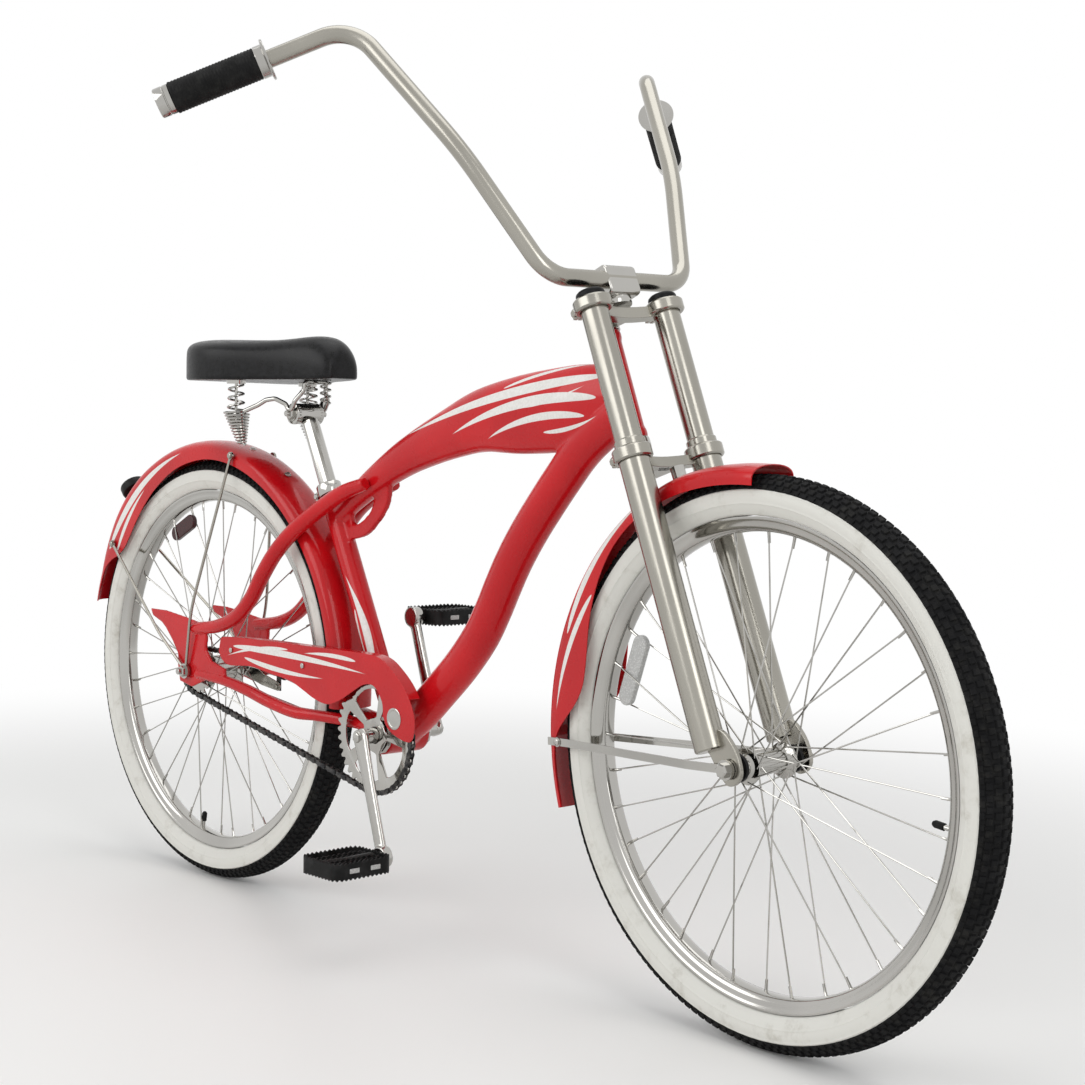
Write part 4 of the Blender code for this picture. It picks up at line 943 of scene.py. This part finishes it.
def make_saddle_wire():
    beside = 0.0301
    side = [(-0.0638, SPRING_Y, 0.003), (-0.0399, 0.058, 0.0122), (-0.028, 0.052, 0.0197),
            (-0.0149, 0.045, 0.022), (-0.004, beside + 0.003, 0.014), (0.003, beside, 0.0),
            (0.0151, beside, 0.019), (0.0226, 0.02, 0.034), (0.0256, 0.019, 0.0478)]
    bends = [0.01, 0.01, 0.01, 0.008, 0.006, 0.008, 0.008, 0.005]
    line = [(x, -y, z) for x, y, z in side] + side[::-1]
    wire = tube(filleted(line, bends + bends[::-1], 8), 0.0035, 16)
    piece("saddle_wire", wire, "frame", "chrome", GROUND @ Matrix.Translation(HUB),
          ("saddle_frame",))


def make_saddle_clamp():
    teeth = 48
    disc = []
    for k in range(teeth):
        r = 0.016 if k % 2 else 0.0148
        turn = 2 * math.pi * k / teeth
        disc.append((r * math.cos(turn), r * math.sin(turn)))
    jaws = [turned(mirrored([(-0.024, 0.0145), (-0.0235, 0.0155)], 0), 40)]
    thread = turned([(0.0, 0.0042), (0.012, 0.0042), (0.0128, 0.0034)], 16)
    for sign in (-1.0, 1.0):
        end, out = (0, sign * 0.024, 0), (0, sign, 0)
        jaws += [prism(disc, sign * 0.018, sign * 0.0215), bolt(0.0085, 0.007, end, out),
                 (thread, along(end, out))]
    piece("saddle_clamp_jaws", merged(*jaws), "frame", "chrome", GROUND @ Matrix.Translation(HUB),
          ("saddle_clamp",))


def make_seat_collar():
    bore, ear_x, ear_y, ear_z = 0.0129, -0.0235, 0.006, 0.009
    collar = turned([(0.0004, bore), (0.0004, 0.0178), (0.0016, 0.0186), (0.0164, 0.0186),
                     (0.0176, 0.0178), (0.0176, bore)], closed=True)
    parts = [(collar, along((0, 0, 0), UP)),
             block((-0.029, -ear_y, 0.003), (-0.016, ear_y, 0.015))]
    parts += [bolt(0.0048, 0.005, (ear_x, sign * ear_y, ear_z), (0, sign, 0))
              for sign in (-1, 1)]
    turn = Matrix.Translation(seat_point(SEAT_TUBE_LENGTH)) @ Matrix.Rotation(-SEAT_TILT, 4, "Y")
    piece("seat_collar", merged(*parts), "frame", "chrome", GROUND @ turn, ("seat_clamp",))


# Steering
BAR_HALF = [(0.047, 0.1126, 0.1945), (0.023, 0.1762, 0.3665), (-0.0382, 0.2458, 0.5636),
            (-0.2031, 0.4307, 0.5268)]
BAR_BENDS = [0.045, 0.5, 0.055]
GRIP_LENGTH, GRIP_R, GRIP_RIBS = 0.141, 0.0198, 26


def make_bars():
    line = [(u, -v, w) for u, v, w in BAR_HALF[::-1]] + BAR_HALF
    path = filleted(line, BAR_BENDS[::-1] + BAR_BENDS, 14)
    piece("handlebar_tube", tube(path, BAR_R, 36), "fork", "satin_chrome", STEER, ("handlebar",))
    bore = BAR_R + 0.0004
    groove = GRIP_R - 0.0005
    sleeve = [(0.0152, bore), (0.0152, GRIP_R - 0.001), (0.016, GRIP_R)]
    for k in range(GRIP_RIBS):
        y = 0.017 + 0.1085 * k / GRIP_RIBS
        sleeve += [(y, GRIP_R), (y + 0.001, groove), (y + 0.0021, groove), (y + 0.0031, GRIP_R)]
    sleeve += [(0.1268, GRIP_R), (0.1275, GRIP_R - 0.001), (0.1275, bore)]
    flange = [(0.0003, bore), (0.0003, 0.025), (0.001, 0.0258), (0.003, 0.0258),
              (0.0038, 0.025), (0.0042, 0.0212), (0.005, 0.0203), (0.0142, 0.0203),
              (0.015, 0.0196), (0.015, bore)]
    cap = [(0.1278, 0.0178), (0.1284, 0.0186), (0.134, 0.0186), (0.1346, 0.018),
           (0.1356, 0.018), (0.1362, 0.0186), (0.1458, 0.0186), (0.1474, 0.0178),
           (0.1479, 0.016), (0.147, 0.012), (0.1466, 0.004)]
    for tag, sign in SIDES:
        knee, end = [Vector((u, sign * v, w)) for u, v, w in BAR_HALF[-2:]]
        inward = (knee - end).normalized()
        seat = STEER @ along(end + inward * GRIP_LENGTH, -inward)
        for name, body, finish, node, sharp in (
                ("grip_sleeve_", turned(sleeve, 40, closed=True), "black_rubber", "grip_", 60.0),
                ("grip_flange_", turned(flange, 56, closed=True), "chrome", "grip_collar_", 40.0),
                ("grip_end_", turned(cap, 56), "chrome", "grip_cap_", 40.0)):
            piece(name + tag, body, "fork", finish, seat, (node + tag[0],), sharp)


def make_stem():
    corners = [(0.021, 0.1785, 0.0045), (0.021, 0.2085, 0.0045), (0.051, 0.181, 0.0075),
               (0.05, 0.205, 0.0075)]
    half_width = 0.025
    item = piece("stem_block", prism(hull(corners, 32), -half_width, half_width), "fork", "chrome",
                 STEER, ("stem",))
    soften(item, 0.0024, 3)
    collar = turned([(0.164, 0.0165), (0.164, 0.0195), (0.166, 0.0203), (0.172, 0.0203),
                     (0.1745, 0.019)], 40)
    parts = [(collar, along((0.034, 0, 0), UP))]
    for u, top in ((0.027, 0.2128), (0.044, 0.2123)):
        for v in (-0.015, 0.015):
            parts.append(bolt(0.0042, 0.0022, (u, v, top), UP, plain=True))
    piece("stem_collar_and_bolts", merged(*parts), "fork", "chrome", STEER)


def make_crown(name, eye_low, eye_high, bridge_low, bridge_high, leg_r):
    """A fork crown: an eye round each leg, a bowed bridge between them and pinch bolts."""
    inner, outer = leg_r + 0.0004, 0.0242
    half, middle = (eye_high - eye_low) / 2, (eye_low + eye_high) / 2
    eye = turned(mirrored([(0.001 - half, inner), (-half, inner + 0.001),
                           (-half, outer - 0.002), (0.002 - half, outer)], 0), 56, closed=True)
    back, front = LEG_U - 0.033, LEG_U - 0.019
    ear = [(back, middle - 0.006), (front, middle - 0.0068), (front, middle + 0.0068),
           (back, middle + 0.006)]
    parts = []
    for v in (-LEG_V, LEG_V):
        parts.append((eye, along((LEG_U, v, middle), UP)))
        for side in (-1.0, 1.0):
            face = v + side * 0.0065
            parts.append(prism(ear, v + side * 0.001, face))
            parts.append(bolt(0.005, 0.0045, (LEG_U - 0.0265, face, middle), (0, side, 0)))
    web = []
    steps = 24
    for s in range(steps + 1):
        t = s / steps
        bow = 0.014 * math.sin(math.pi * t)
        web.append((LEG_U - 0.004 - bow, LEG_V * (2 * t - 1), (bridge_low + bridge_high) / 2))
    parts.append(strap(web, UP, bridge_high - bridge_low, 0.016))
    arm = LEG_U - 0.02
    yoke = hull([(0.0, 0.0, 0.02), (arm, 0.022, 0.008), (arm, -0.022, 0.008)], 32)
    yoke_low = max(bridge_low, HEAD_LENGTH + 0.009) if bridge_low > 0 else bridge_low
    parts.append(slab(yoke, yoke_low, bridge_high))
    item = piece(name + "_casting", merged(*parts), "fork", "satin_chrome", STEER, (name,))
    soften(item, 0.0012, 2, 40.0)


LUG = [
    # u and w from the axle
    (-0.0306, 0.0354), (-0.0246, 0.0504), (0.0034, 0.0454), (0.0174, 0.0204), (0.0174, -0.0076),
    (0.0054, -0.0186), (-0.0086, -0.0166), (-0.0166, 0.0004), (-0.0226, 0.0224),
]


def make_fork():
    leg = turned([(-0.399, LEG_R - 0.002), (-0.397, LEG_R), (-0.0485, LEG_R), (-0.02, LEG_R),
                  (-0.0195, STANCHION_R), (0.164, STANCHION_R), (0.1648, 0.0164)], 56)
    lug = [(AXLE_U + p.x, AXLE_W + p.y) for p in spline(LUG, 5)]
    dome = turned([(0.165, 0.0176), (0.169, 0.0182), (0.1712, 0.0174), (0.1732, 0.015),
                   (0.1745, 0.0108), (0.175, 0.005)], 40)
    nuts = []
    for tag, sign in SIDES:
        stand = along((LEG_U, sign * LEG_V, 0.0), UP)
        body = merged((leg, stand), prism(lug, sign * 0.0553, sign * 0.0612))
        item = piece("fork_leg_" + tag, body, "fork", "satin_chrome", STEER,
                     ("fork_leg_" + tag[0],))
        soften(item, 0.0008, 2, 50.0)
        piece("leg_dome_" + tag, dome, "fork", "black_plastic", STEER @ stand,
              ("leg_cap_" + tag[0],), sharp=60.0)
        nuts += [bolt(0.0088, 0.0095, (0, sign * 0.0652, 0), (0, sign, 0)),
                 bolt(0.0085, 0.006, (0, sign * 0.0482, 0), (0, sign, 0), plain=True)]
    make_crown("lower_crown", -0.045, -0.0285, -0.05, -0.037, LEG_R)
    make_crown("upper_crown", 0.148, 0.1635, 0.1455, 0.16, STANCHION_R)
    piece("front_axle_nuts", merged(*nuts), "fork", "chrome",
          STEER @ Matrix.Translation((AXLE_U, 0, AXLE_W)))


def make_headset():
    """Pressed cups at both ends of the head tube, with a lock nut on the upper one."""
    inner = 0.0146
    lower = [(-0.02, inner), (-0.02, 0.018), (-0.0188, 0.019), (-0.015, 0.0192),
             (-0.014, 0.0212), (-0.012, 0.0215), (-0.003, 0.0215), (-0.0004, 0.021),
             (-0.0004, inner)]
    upper = [(0.0004, inner), (0.0004, 0.0208), (0.0012, 0.0215), (0.0048, 0.0215),
             (0.0056, 0.02), (0.0082, 0.0192), (0.0085, 0.018), (0.0085, inner)]
    for name, profile, end in (("headset_lower", lower, 0.0),
                               ("headset_upper", upper, HEAD_LENGTH)):
        piece(name + "_cup", turned(profile, closed=True), "frame", "chrome",
              HEAD @ along((0, 0, end), UP), (name,), sharp=40.0)


# Drive
def pitch_radius(teeth):
    return LINK_PITCH / (2 * math.sin(math.pi / teeth))


def chain_line():
    """The chain's pitch line as spans: (length, point at a share of the length)."""
    big, small = pitch_radius(RING_TEETH), pitch_radius(COG_TEETH)
    a, b = Vector((BB.x, BB.z)), Vector((0.0, WHEEL_R))
    apart = (b - a).length
    heading = math.atan2(b.y - a.y, b.x - a.x)
    lean = math.acos((big - small) / apart)
    straight = math.sqrt(apart ** 2 - (big - small) ** 2)

    def at(centre, radius, turn):
        return centre + Vector((math.cos(turn), math.sin(turn))) * radius

    start, sweep = heading + lean, 2 * math.pi - 2 * lean
    top_a, low_a = at(a, big, start), at(a, big, start + sweep)
    low_b, top_b = at(b, small, heading - lean), at(b, small, heading + lean)
    return [(sweep * big, lambda t: at(a, big, start + sweep * t)),
            (straight, lambda t: low_a.lerp(low_b, t)),
            (2 * lean * small, lambda t: at(b, small, heading - lean + 2 * lean * t)),
            (straight, lambda t: top_b.lerp(top_a, t))]


def make_chain():
    spans = chain_line()
    total = sum(length for length, _ in spans)
    links = 2 * round(total / LINK_PITCH / 2)

    def point(distance):
        distance %= total
        for length, place in spans:
            if distance <= length:
                return place(distance / length)
            distance -= length
        return spans[-1][1](1.0)

    pins = [point(total * k / links) for k in range(links)]
    end_r, waist, plate = 0.0041, 0.0028, 0.001
    parts = []
    for k in range(links):
        a, b = pins[k], pins[(k + 1) % links]
        turn = math.atan2(b.y - a.y, b.x - a.x)
        length = (b - a).length
        outline = circle((0, 0), end_r, 6, math.radians(60), math.radians(288))
        outline.append((length / 2, -waist))
        outline += circle((length, 0), end_r, 6, math.radians(-120), math.radians(288))
        outline.append((length / 2, waist))
        shift = 0.0033 if k % 2 else 0.0022
        bodies = [prism(outline, side * shift, side * (shift + plate)) for side in (-1.0, 1.0)]
        bodies += [peg(-0.0045, 0.0045, 0.0018, 8), peg(-0.0021, 0.0021, 0.0036, 10)]
        place = Matrix.Translation((a.x, CHAIN_Y, a.y)) @ Matrix.Rotation(-turn, 4, "Y")
        parts += [(body, place) for body in bodies]
    piece("chain_links", merged(*parts), "frame", "black_steel", stands_for=("chain",), sharp=30.0)


def gear(teeth):
    """A chain wheel's outline, with a round roller seat between each two teeth."""
    pitch = pitch_radius(teeth)
    out = []
    for t in range(teeth):
        for share, r in ((-0.15, 0.0032), (0.0, 0.0036), (0.15, 0.0032), (0.27, 0.0004),
                         (0.38, -0.0028), (0.5, -0.0038), (0.62, -0.0028), (0.73, 0.0004)):
            turn = 2 * math.pi * (t + share) / teeth
            out.append(((pitch + r) * math.cos(turn), (pitch + r) * math.sin(turn)))
    return out


def window(inner, outer, middle, half_angle):
    """A rounded opening between two radii of a wheel, as an (x, z) outline."""
    out = []
    turns = [middle - half_angle, middle + half_angle]
    for r, (first, last) in ((outer, turns), (inner, turns[::-1])):
        for s in range(9):
            turn = math.radians(first + (last - first) * s / 8)
            soft = 0.0035 * (abs(s - 4) / 4) ** 4
            radius = r - soft if r == outer else r + soft
            out.append((radius * math.cos(turn), radius * math.sin(turn)))
    return out


def make_chainring():
    half, bore_r, cog_bore_r = 0.0014, 0.0119, 0.0075
    low, high = CHAIN_Y - half, CHAIN_Y + half
    windows = [window(0.024, 0.066, 72.0 * k + 36.0, 27.0) for k in range(5)]
    for name, teeth, body, place, node, holes in (
            ("chainring_plate", RING_TEETH, "crank", CRANK, "chainring",
             windows + [circle((0, 0), bore_r, 32)]),
            ("cog_plate", COG_TEETH, "rear_sprocket", REAR, "rear_sprocket",
             [circle((0, 0), cog_bore_r, 32)])):
        item = piece(name, prism(gear(teeth), low, high), body, "chrome", place, (node,))
        carve(item, [prism(hole, low - 0.01, high + 0.01) for hole in holes], place)
        soften(item, 0.0005, 1, 50.0)


CRANK_ARM = [
    # share of the way to the pedal's eye, radius, width to height
    (-0.06, 0.01, 0.5), (0.0, 0.015, 0.42), (0.12, 0.014, 0.44), (0.4, 0.0118, 0.48),
    (0.8, 0.011, 0.52), (1.0, 0.011, 0.55),
]
PEDAL_EYE = Vector((0.07, 0.083, 0.155))


def make_crank():
    spindle = [(-0.0745, 0.009), (-0.0735, 0.0105), (-0.04, 0.0113)]
    eye = turned(mirrored([(-0.0075, 0.0142), (-0.0067, 0.015)], 0), 36)
    parts, caps = [turned(mirrored(spindle, 0), 40)], []
    for sign in (-1.0, 1.0):
        tip = Vector((-sign * PEDAL_EYE.x, sign * PEDAL_EYE.y, sign * PEDAL_EYE.z))
        root = Vector((0, sign * 0.068, 0))
        rows = [(*root.lerp(tip, t), radius, flat) for t, radius, flat in CRANK_ARM]
        parts += [tapered(rows, 5, 24), (eye, Matrix.Translation(tip))]
        caps.append(bolt(0.0075, 0.005, (0, sign * 0.073, 0), (0, sign, 0)))
    weld(piece("crank_forging", merged(*parts), "crank", "chrome", CRANK, ("crank",)), 0.0013, 3)
    piece("crank_bolts", merged(*caps), "crank", "chrome", CRANK)


def cage(half_x, half_y, corner, height, thick, pitch, depth):
    """A pedal's outer band round a rounded rectangle, toothed on both edges."""
    loop = []
    for cx, cy, first in ((1, 1, 0), (-1, 1, 90), (-1, -1, 180), (1, -1, 270)):
        centre = Vector((cx * (half_x - corner), cy * (half_y - corner), 0.0))
        for s in range(7):
            turn = math.radians(first + 15.0 * s)
            loop.append(centre + Vector((math.cos(turn), math.sin(turn), 0.0)) * corner)
    loop.append(loop[0])
    lengths = [0.0]
    for a, b in zip(loop, loop[1:]):
        lengths.append(lengths[-1] + (b - a).length)
    count = 2 * round(lengths[-1] / pitch)
    rings = []
    for k in range(count):
        target = lengths[-1] * k / count
        i = max(j for j in range(len(loop) - 1) if lengths[j] <= target)
        step = max(lengths[i + 1] - lengths[i], 1e-9)
        p = loop[i].lerp(loop[i + 1], (target - lengths[i]) / step)
        inward = Vector((math.copysign(max(abs(p.x) - (half_x - corner), 0.0), -p.x),
                         math.copysign(max(abs(p.y) - (half_y - corner), 0.0), -p.y), 0.0))
        inward.normalize()
        top = height / 2 - (depth if k % 2 else 0.0)
        up = Vector((0, 0, top))
        rings.append([p - up, p + up, p + inward * thick + up, p + inward * thick - up])
    return skin(rings, closed=True)


def make_pedals():
    half_x, half_y, half_z = 0.0408, 0.0478, 0.0125
    reach = 0.0615
    barrel = [(0.001 - half_y, 0.008), (0.007 - half_y, 0.0098), (0.0, 0.0088)]
    inner = cage(0.0075, half_y - 0.006, 0.006, 0.019, 0.0022, 0.009, 0.0022)
    parts = [cage(half_x, half_y, 0.013, 2 * half_z, 0.0026, 0.0072, 0.003),
             turned(mirrored(barrel), 28)]
    parts += [(inner, Matrix.Translation((x, 0, 0))) for x in (-0.015, 0.015)]
    for y in (-0.036, -0.012, 0.012, 0.036):
        for x in (-0.03, 0.03):
            parts.append(block((x - 0.0098, y - 0.0013, -0.006), (x + 0.0098, y + 0.0013, 0.006)))
    panes = []
    for side in (-1.0, 1.0):
        for y in (-0.0175, 0.0175):
            panes.append(block((side * (half_x - 0.0006), y - 0.008, -0.0032),
                               (side * (half_x + 0.0008), y + 0.008, 0.0032)))
    nut = turned([(0.0, 0.007), (0.006, 0.007), (0.0068, 0.0058)], 28)
    for tag, sign in SIDES:
        body = "pedal_" + tag
        tip = joint_point(body)
        place = Matrix.Translation((tip.x, sign * (PEDAL_EYE.y + reach), tip.z))
        item = piece("pedal_cage_" + tag, merged(*parts), body, "black_plastic", place,
                     ("pedal_" + tag[0],))
        soften(item, 0.0004, 1, 40.0)
        item = piece("pedal_reflectors_" + tag, merged(*panes), body, "clear_lens", place)
        soften(item, 0.0008, 2)
        piece("pedal_axle_nut_" + tag, nut, body, "chrome",
              place @ along((0, sign * -0.0515, 0), (0, sign, 0)))


CHAIN_GUARD = [
    # x and z in the ground frame: the top edge, the round nose, then the lower edge to the rear
    (0.085, 0.3925), (0.133, 0.397), (0.234, 0.399), (0.351, 0.4), (0.443, 0.401),
    (0.481, 0.397), (0.509, 0.382), (0.533, 0.362), (0.55, 0.338), (0.557, 0.315),
    (0.551, 0.291), (0.531, 0.289), (0.501, 0.3), (0.489, 0.317), (0.485, 0.338),
    (0.467, 0.357), (0.444, 0.357), (0.419, 0.345), (0.389, 0.329), (0.36, 0.32),
    (0.33, 0.324), (0.298, 0.335), (0.266, 0.345), (0.217, 0.35), (0.165, 0.356),
    (0.103, 0.353), (0.08, 0.372),
]


def make_chain_guard():
    face_y, thick = -0.056, 0.0014
    fine = spline(CHAIN_GUARD[-2:] + CHAIN_GUARD + CHAIN_GUARD[:2], 5)[10:-10]
    top = [(x, z) for x, z in fine if z > 0.345 and x > 0.1 and not (x < 0.48 and z < 0.39)]
    flange = strap([(x, -0.0456, z - 0.0011) for x, z in top], (0, 1, 0), 0.0186, thick)
    item = piece("chain_guard_pressing", merged(prism(fine, face_y, face_y + thick), flange),
                 "frame", "guard_red", stands_for=("chain_guard",))
    soften(item, 0.0006, 2, 50.0)
    disc = turned([(0.0, 0.015), (0.0008, 0.015), (0.0013, 0.014), (0.0013, 0.0118),
                   (0.0009, 0.0112), (0.0011, 0.006), (0.0012, 0.001)])
    piece("guard_disc", disc, "frame", "chrome",
          GROUND @ along((0.513, face_y, 0.3168), (0, -1, 0)))
    heads = [bolt(0.0042, 0.0024, (x, face_y, z), (0, -1, 0), plain=True)
             for x, z in ((0.115, 0.376), (0.3, 0.37))]
    piece("guard_bolts", merged(*heads), "frame", "chrome")


def make_fender_rods():
    """Two rods on each side, from an eye under the axle nut up to the rear fender's edge."""
    out = FENDER_HALF + 0.0035
    nuts = [turned(mirrored([(-0.08, 0.004), (-0.0793, 0.0047)], 0), 32)]
    for tag, sign in SIDES:
        parts = [(hoop(-0.0012, 0.0012, 0.0052, 0.0105, 40),
                  Matrix.Translation((0, sign * 0.064, 0)))]
        for radius, angle, knee_y in ((0.35, 76.0, 0.0712), (0.326, 145.0, 0.0655)):
            tip = polar(radius, angle, sign * out)
            foot = polar(0.0085, angle, sign * 0.065)
            knee = foot.lerp(tip, 0.27)
            knee.y = sign * knee_y
            parts += [tube(filleted([foot, knee, tip], [0.3], 10), 0.0024, 14),
                      (peg(-0.0012, 0.0012, 0.0062, 28), Matrix.Translation(tip)),
                      bolt(0.0046, 0.0035, tip + Vector((0, sign * 0.0012, 0)), (0, sign, 0))]
        piece("rear_fender_rods_" + tag, merged(*parts), "frame", "satin_chrome", REAR,
              ("rear_fender_stay_" + tag[0],))
        nuts.append(bolt(0.0088, 0.009, (0, sign * 0.0657, 0), (0, sign, 0)))
    piece("rear_axle_and_nuts", merged(*nuts), "frame", "chrome", REAR, ("rear_axle",))


def make_brake_arm():
    """A coaster hub's arm on the left, with the clip that holds it to the chain stay."""
    clip_x, clip_z = 0.09, -0.024
    stay_y, stay_z = 0.0593, -0.004
    elbow = (0.05, -0.017, 0.0095)
    plate = hull([(0.0, 0.0, 0.015), elbow], 32)
    tail = hull([elbow, (clip_x, clip_z, 0.007)], 32)
    arm = merged(prism(plate, 0.0466, 0.0494), prism(tail, 0.0468, 0.0492),
                 bolt(0.0046, 0.005, (clip_x, 0.0466, clip_z), (0, -1, 0)))
    item = piece("brake_arm_plate", arm, "frame", "satin_chrome", REAR, ("brake_arm",))
    soften(item, 0.0006, 2, 50.0)
    ear = block((clip_x - 0.006, 0.0496, clip_z - 0.007), (clip_x + 0.006, 0.0512, stay_z))
    clip = merged((hoop(-0.006, 0.006, 0.0088, 0.0104, 36),
                   along((clip_x, stay_y, stay_z), (1, -0.05, -0.09))), ear)
    soften(piece("brake_arm_clip", clip, "frame", "black_steel", REAR), 0.0005, 1)


def make_reflectors():
    """The round one on the rear fender, and a flat one clipped to the spokes of each wheel."""
    seat = REAR @ along(polar(0.3633, 133.0), polar(1.0, 133.0))
    cup = turned([(0.0, 0.006), (0.012, 0.006), (0.0122, 0.019), (0.014, 0.0222),
                  (0.0165, 0.023), (0.0262, 0.023), (0.028, 0.0222), (0.0283, 0.0205)])
    piece("rear_reflector_cup", cup, "frame", "black_plastic", seat, ("rear_reflector",))
    glass = turned([(0.0284, 0.02), (0.0296, 0.02), (0.0306, 0.017), (0.0312, 0.01),
                    (0.0313, 0.002)])
    piece("rear_reflector_glass", glass, "frame", "red_lens", seat, ("rear_reflector_lens",))
    for label, place, finish, radius, angle, length in (
            ("front", FRONT, "clear_lens", 0.237, 159.0, 0.095),
            ("rear", REAR, "dark_lens", 0.245, 116.0, 0.07)):
        reach, end_r = length / 2 - 0.012, 0.012
        body = prism(hull([(0.0, reach, end_r), (0.0, -reach, end_r)], 28), -0.004, 0.004)
        turn = Matrix.Rotation(math.radians(-angle), 4, "Y")
        item = piece(label + "_spoke_reflector", body, label + "_wheel", finish,
                     place @ Matrix.Translation(polar(radius, angle)) @ turn)
        soften(item, 0.0015, 2)


def make_fasteners():
    """Small bolts on the rear fender and the front stays."""
    heads = [bolt(0.004, 0.003, polar(0.361, angle), polar(1.0, angle))
             for angle in (76.0, 60.0)]
    piece("rear_fender_bolts", merged(*heads), "frame", "chrome", REAR)
    heads = [bolt(0.0045, 0.0032, (-0.324, sign * (FENDER_HALF + 0.0027), -0.0142), (0, sign, 0))
             for sign in (-1.0, 1.0)]
    piece("front_stay_bolts", merged(*heads), "fork", "chrome", FRONT)


# Setting
def make_floor():
    """A pale floor that turns into plain white away from the bicycle."""
    level, reach = GROUND.translation.z - 0.0005, 9.0
    fade_start, fade_end = 0.9, 2.6
    mesh = bpy.data.meshes.new("floor")
    corners = [(-reach, -reach), (reach, -reach), (reach, reach), (-reach, reach)]
    mesh.from_pydata([(x, y, level) for x, y in corners], [], [(0, 1, 2, 3)])
    finish = Finish("pale_floor", (0.9, 0.89, 0.865), 0.42)
    finish.bump(finish.noise(40.0, 2.0), 0.02, 0.0004)
    flat = finish.node("VectorMath", {0: finish.coords, 1: (1.0, 1.0, 0.0)}, operation="MULTIPLY")
    away = finish.node("VectorMath", {0: flat.outputs[0]}, operation="LENGTH").outputs["Value"]
    share = finish.sum("MULTIPLY", finish.ramp(away, fade_start, fade_end), finish.seen())
    white = finish.node("Emission")
    both = finish.node("MixShader", {0: share, 1: finish.shader.outputs[0], 2: white.outputs[0]})
    finish.plug(finish.tree.nodes["Material Output"].inputs["Surface"], both.outputs[0])
    mesh.materials.append(finish.material)
    linked("floor", mesh)


def area_lamp(name, spot, target, width, height, power):
    data = bpy.data.lights.new(name, "AREA")
    data.shape = "RECTANGLE"
    data.size = width
    data.size_y = height
    data.energy = power
    toward = (Vector(target) - Vector(spot)).to_track_quat("-Z", "Y").to_matrix().to_4x4()
    linked(name, data).matrix_world = Matrix.Translation(spot) @ toward


def make_light():
    world = bpy.data.worlds.new("studio")
    bpy.context.scene.world = world
    world.use_nodes = True
    nodes = Nodes(world.node_tree)
    nodes.tree.nodes.clear()
    soft = nodes.node("Background", {0: (0.95, 0.97, 1.0, 1.0), 1: 0.5})
    white = nodes.node("Background", {0: (1.0, 1.0, 1.0, 1.0), 1: 1.0})
    mix = nodes.node("MixShader", {0: nodes.seen(), 1: soft.outputs[0], 2: white.outputs[0]})
    nodes.node("OutputWorld", {0: mix.outputs[0]})
    area_lamp("key", (-0.8, -4.2, 2.0), (0.3, 0, -0.2), 5.0, 3.0, 105.0)
    area_lamp("top", (0.4, 0.3, 3.4), (0.3, 0, -0.3), 3.5, 3.0, 44.0)
    area_lamp("front", (3.8, -1.0, 1.2), (0.5, 0, -0.3), 1.2, 2.4, 22.0)


def dress_nodes():
    """Gives the CAD nodes that stay in view the finishes of this scene."""
    node_slots = {part["node"]: part["material_slot"] for part in frame["record"]["subparts"]}
    for name, node in frame["nodes"].items():
        finish = FINISHES[node_slots[name]]
        for slot in node.material_slots:
            slot.material = finish


for build in (make_camera, dress_nodes, make_frame, make_rear_triangle, make_wheels, make_fenders,
              make_saddle, make_saddle_springs, make_saddle_wire, make_saddle_clamp,
              make_seat_collar, make_bars, make_stem, make_fork, make_headset, make_chain,
              make_chainring, make_crank, make_pedals, make_chain_guard, make_fender_rods,
              make_brake_arm, make_reflectors, make_fasteners, make_floor, make_light):
    build()
bpy.context.scene.view_settings.view_transform = "Standard"
